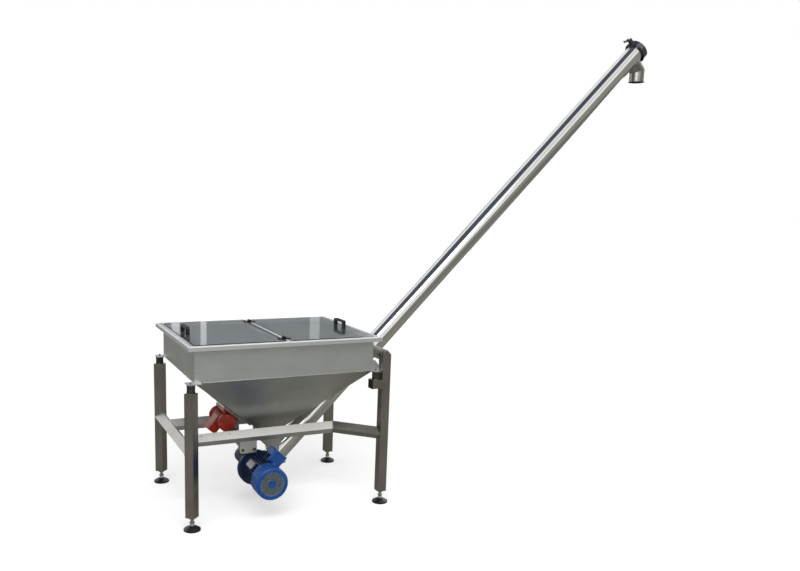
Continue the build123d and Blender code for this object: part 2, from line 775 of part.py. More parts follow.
# Saddle: a plate with a curved seat under the crossbar's face, and two U-bolts round the tube
crossbar_s = (leg_x - screw_foot_x + crossbar_z) * DIAGONAL
saddle_s0 = crossbar_s - saddle_length / 2
saddle_top = conveyor_radius + saddle_thickness
seat_block = axis_block(saddle_s0 + 22, saddle_s0 + saddle_length - 22, saddle_wrap, saddle_top - 4, -48, 48)
saddle = axis_block(saddle_s0, saddle_s0 + saddle_length, saddle_top - 6, saddle_top,
                    -saddle_width / 2, saddle_width / 2)
saddle += seat_block
saddle -= axis_frame(saddle_s0 - 50) * Cylinder(
    conveyor_radius + running_fit, saddle_length + 100, align=BASE)
u_bolt_s = [crossbar_s - u_bolt_spacing / 2, crossbar_s + u_bolt_spacing / 2]
u_bolt_bend = conveyor_radius + u_bolt_radius + running_fit
for s in u_bolt_s:
    for side in (-1, 1):
        saddle -= Pos(on_axis(s, saddle_top, side * u_bolt_bend)) * Rot(0, -45, 0) * Cylinder(
            u_bolt_radius + bolt_clearance, 30)
pieces["tube_saddle"] = [saddle]


def u_bolt():
    height = saddle_top + 14
    arc = ThreePointArc((-u_bolt_bend, 0, 0), (0, -u_bolt_bend, 0), (u_bolt_bend, 0, 0))
    path = Line((-u_bolt_bend, height, 0), (-u_bolt_bend, 0, 0)) + arc + Line(
        (u_bolt_bend, 0, 0), (u_bolt_bend, height, 0))
    section = Plane(origin=(-u_bolt_bend, height, 0), z_dir=(0, -1, 0)) * Circle(u_bolt_radius)
    return sweep(section, path=path)


saddle_bolts = []
for s in u_bolt_s:
    saddle_bolts.append(axis_frame(s) * u_bolt())
    for side in (-1, 1):
        saddle_bolts.append(axis_frame(s) * Pos(side * u_bolt_bend, saddle_top, 0) * Rot(-90, 0, 0) * nut(
            u_bolt_radius))
pieces["saddle_u_bolts"] = saddle_bolts

# The screw: a pipe with a drive shaft at its foot, a journal at its head and one flight per turn
shaft = axis_frame(pipe_start) * ring(pipe_radius, pipe_radius - pipe_wall, pipe_end - pipe_start)
shaft += axis_frame(gear_station - output_half) * Cylinder(
    drive_shaft_radius, pipe_start + 20 - gear_station + output_half, align=BASE)
shaft += axis_frame(pipe_start) * Cylinder(pipe_radius - pipe_wall, 20, align=BASE)
journal = Cylinder(journal_radius, tube_end + 2 - pipe_end, align=BASE)
journal += Cylinder(pipe_radius, 8, align=BASE)
journal += Cylinder(pipe_radius - pipe_wall - running_fit, 20, align=TOP)
pieces["screw_shaft"] = [shaft, axis_frame(pipe_end) * journal]


def flight_turn():
    """One sectional flight: a strip on edge, swept once round the pipe."""
    inner = pipe_radius + running_fit
    middle = (inner + screw_radius) / 2
    path = Helix(screw_pitch, screw_pitch, middle)
    section = Plane(origin=path @ 0, x_dir=(1, 0, 0), z_dir=path % 0) * Rectangle(
        screw_radius - inner, flight_thickness)
    return sweep(section, path=path, is_frenet=True)


turns = int((spout_station + spout_radius - flight_start) / screw_pitch)
one_turn = flight_turn()
pieces["screw_flights"] = [axis_frame(flight_start + i * screw_pitch) * one_turn for i in range(turns)]

# Worm gearbox: wheel housing on the screw's line, worm barrel above it along Y
gear_place = axis_frame(gear_station)
barrel_line = Plane(origin=on_axis(gear_station, gear_centres), x_dir=(DIAGONAL, 0, DIAGONAL),
                    z_dir=(0, -1, 0)).location
cavity_radius = wheel_radius + 3


def gearbox():
    body = Pos(0, 0, -drum_half) * Cylinder(drum_radius, 2 * drum_half, align=BASE)
    body += Cylinder(output_boss_radius, output_half, align=BASE)
    body += block(-drum_radius * 0.62, drum_radius * 0.62, 0, gear_centres, -drum_half, drum_half)
    body = gear_place * body
    body += barrel_line * Pos(0, 0, -barrel_end) * Cylinder(barrel_radius, barrel_end + input_face, align=BASE)
    body += barrel_line * Pos(0, 0, input_face) * Cylinder(flange_radius, input_flange_thickness, align=TOP)
    body += barrel_line * Pos(0, 0, input_face - input_flange_thickness) * Cone(
        input_cone_radius, barrel_radius, input_cone_length, align=BASE, rotation=(180, 0, 0))
    body += block(pad_x - pad_half, pad_x + pad_half, -42, 42, barrel_centre.Z, pad_top)
    hollow = Pos(0, 0, -drum_half) * Cylinder(cavity_radius, 2 * drum_half - 10, align=BASE)
    hollow += Cylinder(hub_radius + running_fit, output_half, align=BASE)
    body -= gear_place * hollow
    body -= barrel_line * Pos(0, 0, -barrel_end + 8) * Cylinder(
        worm_radius + 4, barrel_end - 8 + input_face, align=BASE)
    return body


barrel_centre = on_axis(gear_station, gear_centres)
pad_x = barrel_centre.X - 16
pad_half = 30
pad_top = barrel_centre.Z + barrel_radius + 8
flange_bolt_radius = 5
flange_bolt_places = PolarLocations(flange_bolt_circle, 4, 45).locations
flange_bolt_holes = [
    barrel_line * place * Pos(0, 0, input_face) * Cylinder(flange_bolt_radius + bolt_clearance, 60)
    for place in flange_bolt_places]
housing = gearbox()
for hole in flange_bolt_holes:
    housing -= hole
pieces["gearbox_housing"] = [housing]

gear_cover = Pos(0, 0, -drum_half - gear_cover_thickness) * Cylinder(
    drum_radius, gear_cover_thickness, align=BASE)
gear_cover += Pos(0, 0, -output_half) * Cylinder(output_boss_radius - 6, output_half - drum_half, align=BASE)
gear_cover -= Pos(0, 0, -output_half + 8) * Cylinder(hub_radius + running_fit, output_half, align=BASE)
gear_cover -= Pos(0, 0, -output_half) * Cylinder(drive_shaft_radius + 2, 20, align=BASE)
cover_screws = [Pos(0, 0, -drum_half - gear_cover_thickness) * place * Rot(180, 0, 0) * hexagon(11, 5)
                for place in PolarLocations(drum_radius - 12, 8).locations]
pieces["gearbox_cover"] = [gear_place * shape for shape in [gear_cover] + cover_screws]

wheel = Cylinder(wheel_radius, wheel_width)
wheel += Pos(0, 0, -output_half + 10) * Cylinder(hub_radius, 2 * output_half - 12, align=BASE)
wheel -= Cylinder(drive_shaft_radius + running_fit, 3 * output_half)
pieces["worm_wheel"] = [gear_place * wheel]

worm = Cylinder(worm_radius, worm_length)
worm += Pos(0, 0, -barrel_end + 22) * Cylinder(
    worm_shaft_radius, barrel_end - 22 + input_face - 8, align=BASE)
worm -= Pos(0, 0, worm_length / 2) * Cylinder(motor_shaft_radius + running_fit, input_face, align=BASE)
pieces["worm_shaft"] = [barrel_line * worm]

# Seal housing between gearbox and end plate
seal_start = gear_station + output_half
seal_length = plate_face - seal_start
seal_housing = Cylinder(seal_housing_radius, seal_length, align=BASE)
seal_housing += Cylinder(seal_flange_radius, seal_flange_thickness, align=BASE)
seal_housing += Pos(0, 0, seal_length) * Cylinder(seal_flange_radius, seal_flange_thickness, align=TOP)
seal_housing -= Cylinder(31 + running_fit, seal_length, align=BASE)
for place in seal_bolt_places:
    seal_housing -= place * Pos(0, 0, seal_length) * Cylinder(seal_bolt_radius + bolt_clearance, 60, align=TOP)
pieces["seal_housing"] = [axis_frame(seal_start) * seal_housing]
seal_bolts = [
    axis_frame(plate_face - seal_flange_thickness) * place * Rot(180, 0, 0) * bolt(
        seal_bolt_radius, seal_flange_thickness + end_plate_thickness)
    for place in seal_bolt_places]

bearing_width = 16
bearings = [
    axis_frame(seal_start + 2) * ring(31, drive_shaft_radius + running_fit, bearing_width),
    axis_frame(plate_face - bearing_width - 4) * ring(31, drive_shaft_radius + running_fit, bearing_width),
    axis_frame(tube_end) * ring(bearing_radius - running_fit, journal_radius + running_fit, 15, TOP)]
worm_bore = worm_radius + 4
worm_bearing = ring(worm_bore - running_fit, worm_shaft_radius + running_fit, bearing_width)
bearings += [
    barrel_line * Pos(0, 0, z) * worm_bearing for z in (-barrel_end + 24, input_face - bearing_width - 20)]
pieces["shaft_seal"] = [axis_frame(plate_face) * ring(30 - running_fit, drive_shaft_radius + running_fit, 7)]

# Motor: flange, finned frame, fan cover with its grille, terminal box; the rotor turns inside
motor_place = barrel_line * Pos(0, 0, input_face)
motor_flange = Cylinder(flange_radius, flange_thickness, align=BASE)
motor_flange += Pos(0, 0, flange_thickness) * Cone(
    motor_core_radius + 4, motor_core_radius, frame_start - flange_thickness, align=BASE)
motor_flange -= Cylinder(motor_bearing_radius, frame_start, align=BASE)
motor_flange = motor_place * motor_flange
for hole in flange_bolt_holes:
    motor_flange -= hole
pieces["motor_flange"] = [motor_flange]
grip = input_flange_thickness + flange_thickness
flange_bolts = [
    motor_place * place * Pos(0, 0, flange_thickness) * bolt(flange_bolt_radius, grip + 14)
    for place in flange_bolt_places]
flange_nuts = [
    motor_place * place * Pos(0, 0, -input_flange_thickness) * Rot(180, 0, 0) * nut(flange_bolt_radius)
    for place in flange_bolt_places]

fin_angles = [360 / fin_count * i for i in range(fin_count)]
box_pad_angle = math.degrees(math.atan2(box_half_width - 6, box_base))


def motor_frame():
    section = Circle(motor_core_radius)
    for angle in fin_angles:
        wrapped = (angle + 180) % 360 - 180
        if abs(wrapped) > box_pad_angle:
            section += Rot(0, 0, angle) * Pos(motor_core_radius - 4, 0) * Rectangle(
                fin_radius - motor_core_radius + 4, fin_thickness, align=(Align.MIN, Align.CENTER))
    section -= Circle(motor_bore)
    body = Pos(0, 0, frame_start) * extrude(section, frame_end - frame_start)
    pad = block(motor_core_radius - 20, box_base, -box_half_width + 8, box_half_width - 8,
                box_start + 6, box_start + box_length - 6)
    body += pad - Cylinder(motor_core_radius - 6, 3 * frame_end)
    shield = ring(motor_bore + 4, motor_bearing_radius, end_shield)
    return body + Pos(0, 0, frame_end - end_shield) * shield


pieces["motor_frame"] = [motor_place * motor_frame()]


def fan_cover():
    length = fan_cover_end - fan_cover_start
    outside = Cylinder(fan_cover_radius, length, align=BASE)
    outside = fillet(outside.edges().group_by(Axis.Z)[-1], 9)
    inside = Cylinder(fan_cover_radius - fan_cover_wall, length - 2 * fan_cover_wall, align=BASE)
    inside = fillet(inside.edges().group_by(Axis.Z)[-1], 7)
    mouth = Cylinder(grille_radius, length + 1, align=BASE)
    return Pos(0, 0, fan_cover_start) * (outside - inside - mouth)


cover_ring = fan_cover()
cover_seat = Pos(0, 0, fan_cover_start) * ring(
    fan_cover_radius - fan_cover_wall, fin_radius + running_fit, frame_end - fan_cover_start)
pieces["fan_cover"] = [motor_place * (cover_ring + cover_seat)]


def fan_grille():
    rim = ring(grille_radius - running_fit, grille_radius - 4, grille_recess)
    disc = Circle(grille_radius - 2)
    reach = int(grille_radius / grille_pitch) + 1
    hole_size = grille_pitch - grille_bar
    holes = []
    for i in range(-reach, reach + 1):
        for j in range(-reach, reach + 1):
            x, y = (i + 0.5) * grille_pitch, (j + 0.5) * grille_pitch
            far = math.hypot(abs(x) + hole_size / 2, abs(y) + hole_size / 2)
            near = math.hypot(max(abs(x) - hole_size / 2, 0), max(abs(y) - hole_size / 2, 0))
            if far < grille_radius - 4 and near > grille_hub * 0.6:
                holes.append(Pos(x, y) * Rectangle(hole_size, hole_size))
    plate = extrude(disc - holes, 2) + Cylinder(grille_hub, 3.5, align=BASE)
    return Pos(0, 0, fan_cover_end - grille_recess - 2) * (plate + Pos(0, 0, 1) * rim)


pieces["fan_grille"] = [motor_place * fan_grille()]


def terminal_box():
    outside = block(box_base, box_base + box_depth, -box_half_width, box_half_width,
                    box_start, box_start + box_length)
    outside = fillet(outside.edges().filter_by(Axis.X), 8)
    inside = block(box_base + 4, box_base + box_depth, -box_half_width + 4, box_half_width - 4,
                   box_start + 4, box_start + box_length - 4)
    lid = block(box_base + box_depth, box_base + box_depth + box_lid_depth, -box_half_width - 1,
                box_half_width + 1, box_start - 1, box_start + box_length + 1)
    lid = fillet(lid.edges().filter_by(Axis.X), 9)
    lid = fillet(lid.edges().group_by(Axis.X)[-1], 4)
    return outside - inside, lid


gland_places = [box_start + 22, box_start + 66]
gland_thread = 8


def cable_gland():
    body = hexagon(24, 6) + Pos(0, 0, 6) * Cylinder(10.5, 7, align=BASE)
    body += Pos(0, 0, 13) * Cone(10.5, 7, 7, align=BASE)
    body += Cylinder(gland_thread, 8, align=TOP)
    return body - Pos(0, 0, -8) * Cylinder(4.5, 40, align=BASE)


box_shell, box_lid = terminal_box()
gland_seat = [Pos(box_base + gland_height, box_half_width, z) * Rot(-90, 0, 0) for z in gland_places]
for seat in gland_seat:
    box_shell -= seat * Cylinder(gland_thread + running_fit, 20)
pieces["terminal_box"] = [motor_place * box_shell]
pieces["terminal_box_lid"] = [motor_place * box_lid]
pieces["cable_glands"] = [motor_place * seat * cable_gland() for seat in gland_seat]

rotor = Pos(0, 0, -44) * Cylinder(motor_shaft_radius, 44 + frame_end + 50, align=BASE)
rotor += Pos(0, 0, frame_start + 22) * Cylinder(rotor_radius, frame_end - frame_start - 44, align=BASE)
pieces["motor_rotor"] = [motor_place * rotor]
motor_bearing = ring(motor_bearing_radius - running_fit, motor_shaft_radius + running_fit, end_shield)
bearings += [motor_place * Pos(0, 0, z) * motor_bearing for z in (4, frame_end - end_shield)]
fan_start = frame_end + 12
fan_depth = 34
fan = Cylinder(22, fan_depth, align=BASE) + Cylinder(fan_radius, 2.5, align=BASE)
for i in range(fan_blades):
    fan += Rot(0, 0, 360 / fan_blades * i) * block(20, fan_radius - 4, -1.5, 1.5, 0, fan_depth)
fan -= Cylinder(motor_shaft_radius + running_fit, fan_depth, align=BASE)
pieces["cooling_fan"] = [motor_place * Pos(0, 0, fan_start) * fan]

# Hangers under the long rails and the beam that carries the gearbox
hanger_hole = Rot(90, 0, 0) * Cylinder(hanger_bolt_radius + bolt_clearance, 60)
hanger_holes = [Pos(hanger_x + side * hanger_bolt_spacing / 2, -rail_y, beam_z - 8) * hanger_hole
                for side in (-1, 1)]


def hanger():
    plate = block(hanger_x - hanger_width / 2, hanger_x + hanger_width / 2,
                  -rail_y - hanger_thickness / 2, -rail_y + hanger_thickness / 2,
                  hanger_bottom, rail_height - ridge + hanger_thickness)
    plate = fillet(plate.edges().filter_by(Axis.Y).group_by(Axis.Z)[0], 14)
    plate -= diamond((-leg_x, -rail_y, rail_height), (leg_x, -rail_y, rail_height), tube_size)
    for hole in hanger_holes:
        plate -= hole
    return plate


beam_end = rail_y - hanger_thickness / 2
beam = block(hanger_x - beam_width / 2, hanger_x + beam_width / 2, -beam_end, beam_end,
             beam_z - beam_height / 2, beam_z + beam_height / 2)
beam -= block(hanger_x - beam_width / 2 + beam_wall, hanger_x + beam_width / 2 - beam_wall,
              -beam_end, beam_end, beam_z - beam_height / 2 + beam_wall, beam_z + beam_height)
for side in (-1, 1):
    low, high = sorted((side * beam_end, side * (beam_end - beam_wall)))
    end = block(hanger_x - hanger_width / 2 + 6, hanger_x + hanger_width / 2 - 6, low, high,
                hanger_bottom + 4, beam_z + beam_height / 2)
    beam += end
for hole in hanger_holes:
    beam -= hole
    beam -= mirrored(hole)
web_bottom = pad_top
web_top = beam_z - beam_height / 2
post = block(pad_x - pad_half, pad_x + pad_half, -40, 40, web_bottom, web_bottom + 8)
for x in (hanger_x + 5, hanger_x + 15):
    post += block(x, x + 8, -40, 40, web_bottom, web_top)
pieces["drive_hangers"] = [hanger(), mirrored(hanger())]
pieces["drive_beam"] = [beam + post]
hanger_bolts = []
for side in (-1, 1):
    head = Pos(hanger_x + side * hanger_bolt_spacing / 2, -rail_y - hanger_thickness / 2, beam_z - 8)
    one = head * Rot(90, 0, 0) * bolt(hanger_bolt_radius, hanger_thickness + beam_wall + 12)
    tail = Pos(hanger_x + side * hanger_bolt_spacing / 2, -beam_end + beam_wall, beam_z - 8)
    back_nut = tail * Rot(-90, 0, 0) * nut(hanger_bolt_radius)
    hanger_bolts += [one, back_nut, mirrored(one), mirrored(back_nut)]

# Vibrator: a channel and plate on the left slope, the cast body, its covers and its weighted rotor
slope_top = Vector(skirt_left, 0, skirt_bottom)
slope_foot = Vector(outlet_x - outlet_size / 2, 0, outlet_height)
slope = (slope_foot - slope_top).normalized()
outward = Vector(slope.Z, 0, -slope.X)
slope_place = Plane(origin=slope_top + slope * vibrator_along, x_dir=(0, 1, 0), z_dir=outward).location
deck = channel_height + vibrator_plate

channel = block(-channel_width / 2, channel_width / 2, -channel_length / 2, channel_length / 2,
                0, channel_height)
channel -= block(-channel_width / 2 + 4, channel_width / 2 - 4, -channel_length, channel_length,
                 0, channel_height - 4)
channel += block(-80, 80, -62, 62, channel_height, deck)
vibrator_bolt_places = [(x, y) for x in (-62, 62) for y in (-46, 46)]
for x, y in vibrator_bolt_places:
    channel -= Pos(x, y, 0) * Cylinder(5 + bolt_clearance, 2 * deck, align=BASE)
pieces["vibrator_mount"] = [slope_place * channel]


def vibrator_body():
    body = Rot(0, 90, 0) * Cylinder(vibrator_radius - 3, 2 * vibrator_half)
    for i in range(-3, 4):
        body += Pos(i * 20, 0, 0) * Rot(0, 90, 0) * Cylinder(vibrator_radius, 7)
    body = Pos(0, 0, vibrator_offset) * body
    body += block(-74, 74, -56, 56, deck, deck + 12)
    body += block(-68, 68, -34, 34, deck + 12, vibrator_offset)
    body += Pos(vibrator_box_across, -vibrator_box_up, vibrator_offset) * Box(
        vibrator_box_length, vibrator_box_width, vibrator_radius + vibrator_box_rise, align=BASE)
    for x, y in vibrator_bolt_places:
        body -= Pos(x, y, 0) * Cylinder(5 + bolt_clearance, 2 * vibrator_offset, align=BASE)
    return body - Pos(0, 0, vibrator_offset) * Rot(0, 90, 0) * Cylinder(vibrator_bore, 2 * vibrator_half)


def vibrator_cover(side):
    cup = Cylinder(vibrator_cover_radius, vibrator_cover_depth, align=BASE)
    cup = fillet(cup.edges().group_by(Axis.Z)[-1], 7)
    cup -= Cylinder(vibrator_bore, vibrator_cover_depth - 3, align=BASE)
    cup -= Cylinder(5, 40, align=MIDDLE)
    return Pos(side * vibrator_half, 0, vibrator_offset) * Rot(0, side * 90, 0) * cup


pieces["vibrator_body"] = [slope_place * vibrator_body()]
pieces["vibrator_covers"] = [slope_place * vibrator_cover(side) for side in (-1, 1)]
weights = Rot(0, 90, 0) * Cylinder(8, 2 * vibrator_half + 36)
weights += Rot(0, 90, 0) * Cylinder(28, 90)
sector = Rot(0, 90, 0) * (Cylinder(34, 18) - Pos(40, 0, 0) * Box(80, 80, 40))
for side in (-1, 1):
    weights += Pos(side * (vibrator_half - 2), 0, 0) * sector
vibrator_bearing = ring(vibrator_bore - running_fit, 8 + running_fit, 12, MIDDLE)
bearings += [slope_place * Pos(side * (vibrator_half - 24), 0, vibrator_offset) * Rot(0, 90, 0) * vibrator_bearing
             for side in (-1, 1)]
pieces["ball_bearings"] = bearings
pieces["vibrator_rotor"] = [slope_place * Pos(0, 0, vibrator_offset) * weights]
vibrator_bolts = [
    slope_place * Pos(x, y, deck + 12) * bolt(5, deck + 4) for x, y in vibrator_bolt_places]
pieces["hex_bolts"] = hanger_bolts + flange_bolts + flange_nuts + seal_bolts + vibrator_bolts

# Every piece moves so that the origin is on the floor, under the middle of the whole machine.
everything = Compound(children=[Compound(children=[s for p in group for s in p.solids()])
                                for group in pieces.values()])
bounds = everything.bounding_box()
shift = Pos(-(bounds.min.X + bounds.max.X) / 2, -(bounds.min.Y + bounds.max.Y) / 2, 0)

os.makedirs("parts", exist_ok=True)
for name, group in pieces.items():
    solids = [solid for part in group for solid in (shift * part).solids()]
    shape = solids[0] if len(solids) == 1 else Compound(children=solids)
    export_step(shape, f"parts/{name}.step")
print("nodes", len(pieces), "shift", shift.position, "size", bounds.size, "floor", bounds.min.Z)
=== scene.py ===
import math

import bmesh
import bpy
from mathutils import Matrix, Vector
from mathutils.bvhtree import BVHTree


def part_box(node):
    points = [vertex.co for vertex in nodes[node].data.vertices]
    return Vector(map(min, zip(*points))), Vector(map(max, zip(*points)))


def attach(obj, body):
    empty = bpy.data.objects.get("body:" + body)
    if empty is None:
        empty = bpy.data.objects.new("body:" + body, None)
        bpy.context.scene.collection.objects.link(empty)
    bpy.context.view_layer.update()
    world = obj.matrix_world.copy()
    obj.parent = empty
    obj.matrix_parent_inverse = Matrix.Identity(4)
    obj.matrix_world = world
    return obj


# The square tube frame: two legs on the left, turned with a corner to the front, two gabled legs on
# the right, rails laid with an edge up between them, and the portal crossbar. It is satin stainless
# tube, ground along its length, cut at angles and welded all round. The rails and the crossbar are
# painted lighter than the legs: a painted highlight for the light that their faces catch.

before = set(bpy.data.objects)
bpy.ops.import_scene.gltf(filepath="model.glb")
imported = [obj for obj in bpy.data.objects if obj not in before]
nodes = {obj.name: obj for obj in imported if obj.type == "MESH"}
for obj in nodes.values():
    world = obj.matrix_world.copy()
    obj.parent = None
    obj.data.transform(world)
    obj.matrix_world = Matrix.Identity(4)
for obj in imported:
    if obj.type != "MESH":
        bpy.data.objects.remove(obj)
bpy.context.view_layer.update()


class Value:
    """A number, colour or vector in a shader. Arithmetic on it adds the shader's own maths."""

    def __init__(self, drawing, socket):
        self.drawing = drawing
        self.socket = socket

    def output(self, name):
        """Another output of the same node."""
        return Value(self.drawing, self.socket.node.outputs[name])

    def maths(self, operation, *terms):
        return self.drawing.node("Math", {"operation": operation}, terms)

    def __add__(self, other):
        return self.maths("ADD", self, other)

    def __radd__(self, other):
        return self.maths("ADD", other, self)

    def __sub__(self, other):
        return self.maths("SUBTRACT", self, other)

    def __rsub__(self, other):
        return self.maths("SUBTRACT", other, self)

    def __mul__(self, other):
        return self.maths("MULTIPLY", self, other)

    def __rmul__(self, other):
        return self.maths("MULTIPLY", other, self)

    def __truediv__(self, other):
        return self.maths("DIVIDE", self, other)

    def __rtruediv__(self, other):
        return self.maths("DIVIDE", other, self)


class Drawing:
    """A node tree that a finish, or the studio's light, is drawn in."""

    def __init__(self, tree):
        self.tree = tree

    def node(self, kind, settings=(), inputs=(), output=0):
        """A node of a kind: its settings are set first, then the values or links of its sockets."""
        made = self.tree.nodes.new("ShaderNode" + kind)
        for name, value in dict(settings).items():
            setattr(made, name, value)
        pairs = inputs.items() if isinstance(inputs, dict) else enumerate(inputs)
        for key, value in pairs:
            self.feed(made.inputs[key], value)
        return Value(self, made.outputs[output])

    def feed(self, socket, value):
        if isinstance(value, Value):
            self.tree.links.new(value.socket, socket)
        else:
            socket.default_value = value

    def place(self):
        return self.node("TexCoord", output="Object")

    def noise(self, size, detail=2, turn=(0, 0, 0)):
        """Soft noise with marks of the given size, in metres, along the turned axes."""
        size = size if isinstance(size, tuple) else (size, size, size)
        turn = tuple(math.radians(angle) for angle in turn)
        where = self.node("Mapping", {"vector_type": "TEXTURE"},
                          {"Vector": self.place(), "Rotation": turn, "Scale": size})
        return self.node("TexNoise", (), {"Vector": where, "Scale": 1.0, "Detail": detail})

    def between(self, value, low, high, to_low=0.0, to_high=1.0):
        """The value, stretched from low..high to to_low..to_high and held at the ends."""
        return self.node("MapRange", {"interpolation_type": "SMOOTHSTEP"}, {
            "Value": value, "From Min": low, "From Max": high, "To Min": to_low, "To Max": to_high})

    def mix(self, amount, first, second):
        return self.node("Mix", {"data_type": "RGBA"}, {0: amount, 6: first, 7: second}, output=2)

    def bump(self, height, depth):
        return self.node("Bump", (), {"Height": height, "Distance": depth, "Strength": 1.0})


def colour(red, green, blue):
    return (red, green, blue, 1.0)


class Finish(Drawing):
    """A material over one Principled shader, whose sockets are painted by their names."""

    def __init__(self, name, **sockets):
        self.material = bpy.data.materials.new(name)
        self.material.use_nodes = True
        super().__init__(self.material.node_tree)
        self.shader = self.tree.nodes["Principled BSDF"]
        self.paint(sockets)

    def paint(self, sockets):
        for name, value in sockets.items():
            self.feed(self.shader.inputs[name.replace("_", " ")], value)

    def on(self, *names):
        """Puts the finish on CAD nodes, given by name, or on a new piece."""
        for name in names:
            piece = nodes[name] if isinstance(name, str) else name
            piece.data.materials.clear()
            piece.data.materials.append(self.material)


def steel(name, turn, light, dark, roughness, grain_length=0.35, grain_width=0.0012, depth=0.00006):
    """Stainless with a grain along the local X of the turned axes, and soft clouds over it."""
    finish = Finish(name, Metallic=1.0)
    fine_length, fine_width = grain_length * 0.4, grain_width * 0.35
    cloud_size = 0.16
    grain = finish.noise((grain_length, grain_width, grain_width), 3, turn)
    fine = finish.noise((fine_length, fine_width, fine_width), 2, turn)
    cloud = finish.noise(cloud_size, 3)
    marks = grain * 0.6 + fine * 0.4
    finish.tone = finish.between(marks * 0.55 + cloud * 0.45, 0.34, 0.66)
    finish.sheen = finish.mix(finish.tone, dark, light)
    finish.paint({
        "Base Color": finish.sheen,
        "Roughness": finish.between(marks, 0.3, 0.7, roughness - 0.05, roughness + 0.08),
        "Normal": finish.bump(marks, depth),
    })
    return finish


frame_light = colour(0.40, 0.385, 0.35)
frame_dark = colour(0.30, 0.285, 0.255)
frame_roughness = 0.27
along_x = (0, 0, 0)
along_y = (0, 0, 90)
along_z = (0, 90, 0)
along_the_brace = (0, 0, 45)
steel("leg steel", along_z, frame_light, frame_dark, frame_roughness).on("left_legs", "right_legs")
# The long rails' steel is painted much lighter than the legs', a painted highlight for the light their
# faces catch.
rail_light_painted_highlight = colour(0.76, 0.75, 0.725)
rail_dark_painted_highlight = colour(0.64, 0.63, 0.605)
steel("rail steel", along_x, rail_light_painted_highlight, rail_dark_painted_highlight, 0.60).on("long_rails")
# The left side rail and the crossbar are painted lighter than the legs too, a painted highlight of the
# same kind.
cross_rail_light_painted_highlight = colour(0.58, 0.565, 0.53)
cross_rail_dark_painted_highlight = colour(0.46, 0.445, 0.42)
cross_rail_steel_painted_highlight = steel("cross rail steel", along_y, cross_rail_light_painted_highlight, cross_rail_dark_painted_highlight, 0.32)
cross_rail_steel_painted_highlight.on("left_side_rail", "portal_crossbar")
steel("brace steel", along_the_brace, frame_light, frame_dark, frame_roughness).on("corner_braces")


def as_mesh(name):
    """A copy of a CAD node's mesh with its points joined, for finding where pieces meet."""
    same_point = 0.00005
    mesh = bmesh.new()
    mesh.from_mesh(nodes[name].data)
    bmesh.ops.remove_doubles(mesh, verts=mesh.verts, dist=same_point)
    return mesh


def seams(name, other, sharp=20):
    """The lines where sharp edges of one node lie on the surface of another, as lists of points."""
    near = 0.0006
    mesh = as_mesh(name)
    against = as_mesh(other)
    tree = BVHTree.FromBMesh(against)
    joined = {}
    for edge in mesh.edges:
        if len(edge.link_faces) != 2 or edge.calc_face_angle(0) < math.radians(sharp):
            continue
        ends = [vert.co for vert in edge.verts]
        points = ends + [(ends[0] + ends[1]) / 2]
        if all(tree.find_nearest(point, near)[0] is not None for point in points):
            first, last = edge.verts
            joined.setdefault(first.index, []).append(last.index)
            joined.setdefault(last.index, []).append(first.index)
    mesh.verts.ensure_lookup_table()
    places = [vert.co.copy() for vert in mesh.verts]
    mesh.free()
    against.free()
    paths = []
    while joined:
        ends = [index for index in joined if len(joined[index]) == 1]
        here = ends[0] if ends else next(iter(joined))
        path = [places[here]]
        while here in joined:
            there = joined[here].pop()
            if not joined[here]:
                del joined[here]
            joined[there].remove(here)
            if not joined[there]:
                del joined[there]
            path.append(places[there])
            here = there
        paths.append(path)
    return outermost(paths)


def outermost(paths):
    """Drops each path that runs inside a longer one round the same middle, and the shortest bits."""
    shortest, apart = 0.012, 0.004

    def length(path):
        return sum((after - before).length for before, after in zip(path, path[1:]))

    def middle(path):
        return sum(path, Vector()) / len(path)

    kept = []
    for path in sorted(paths, key=length, reverse=True):
        alone = all((middle(path) - middle(other)).length > apart for other in kept)
        if length(path) > shortest and alone:
            kept.append(path)
    return kept


def bead(mesh, path, radius):
    """A weld bead: a half-sunk rope of overlapping puddles along the path."""
    ripple, waist, sides, same_end = 0.0024, 0.84, 6, 0.0001
    closed = (path[0] - path[-1]).length < same_end
    lengths = [0.0]
    for before, after in zip(path, path[1:]):
        lengths.append(lengths[-1] + (after - before).length)
    count = max(4, int(lengths[-1] / ripple) * 2)
    rings, step, place = [], lengths[-1] / count, 0
    for i in range(count + (0 if closed else 1)):
        along = min(i * step, lengths[-1])
        while place < len(path) - 2 and lengths[place + 1] < along:
            place += 1
        run = lengths[place + 1] - lengths[place]
        centre = path[place].lerp(path[place + 1], (along - lengths[place]) / run)
        ahead = (path[place + 1] - path[place]).normalized()
        side = ahead.orthogonal().normalized()
        other = ahead.cross(side)
        size = radius * (1.0 if i % 2 else waist)
        angles = [math.tau * j / sides for j in range(sides)]
        rings.append([mesh.verts.new(centre + size * (side * math.cos(angle) + other * math.sin(angle)))
                      for angle in angles])
    for low, high in zip(rings, rings[1:] + (rings[:1] if closed else [])):
        gaps = [sum((low[j].co - high[(j + turn) % sides].co).length for j in range(sides))
                for turn in range(sides)]
        turn = gaps.index(min(gaps))
        for j in range(sides):
            after = (j + 1) % sides
            mesh.faces.new((low[j], low[after], high[(after + turn) % sides], high[(j + turn) % sides]))
    if not closed:
        mesh.faces.new(rings[0][::-1])
        mesh.faces.new(rings[-1])


def add(name, mesh, body, finish):
    """Makes an object of a mesh, smooth up to the crease angle, on a body of the machine."""
    crease = 38
    bmesh.ops.recalc_face_normals(mesh, faces=mesh.faces)
    made = bpy.data.meshes.new(name)
    mesh.to_mesh(made)
    mesh.free()
    made.shade_smooth()
    made.set_sharp_from_angle(angle=math.radians(crease))
    piece = bpy.data.objects.new(name, made)
    bpy.context.scene.collection.objects.link(piece)
    finish.on(piece)
    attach(piece, body)


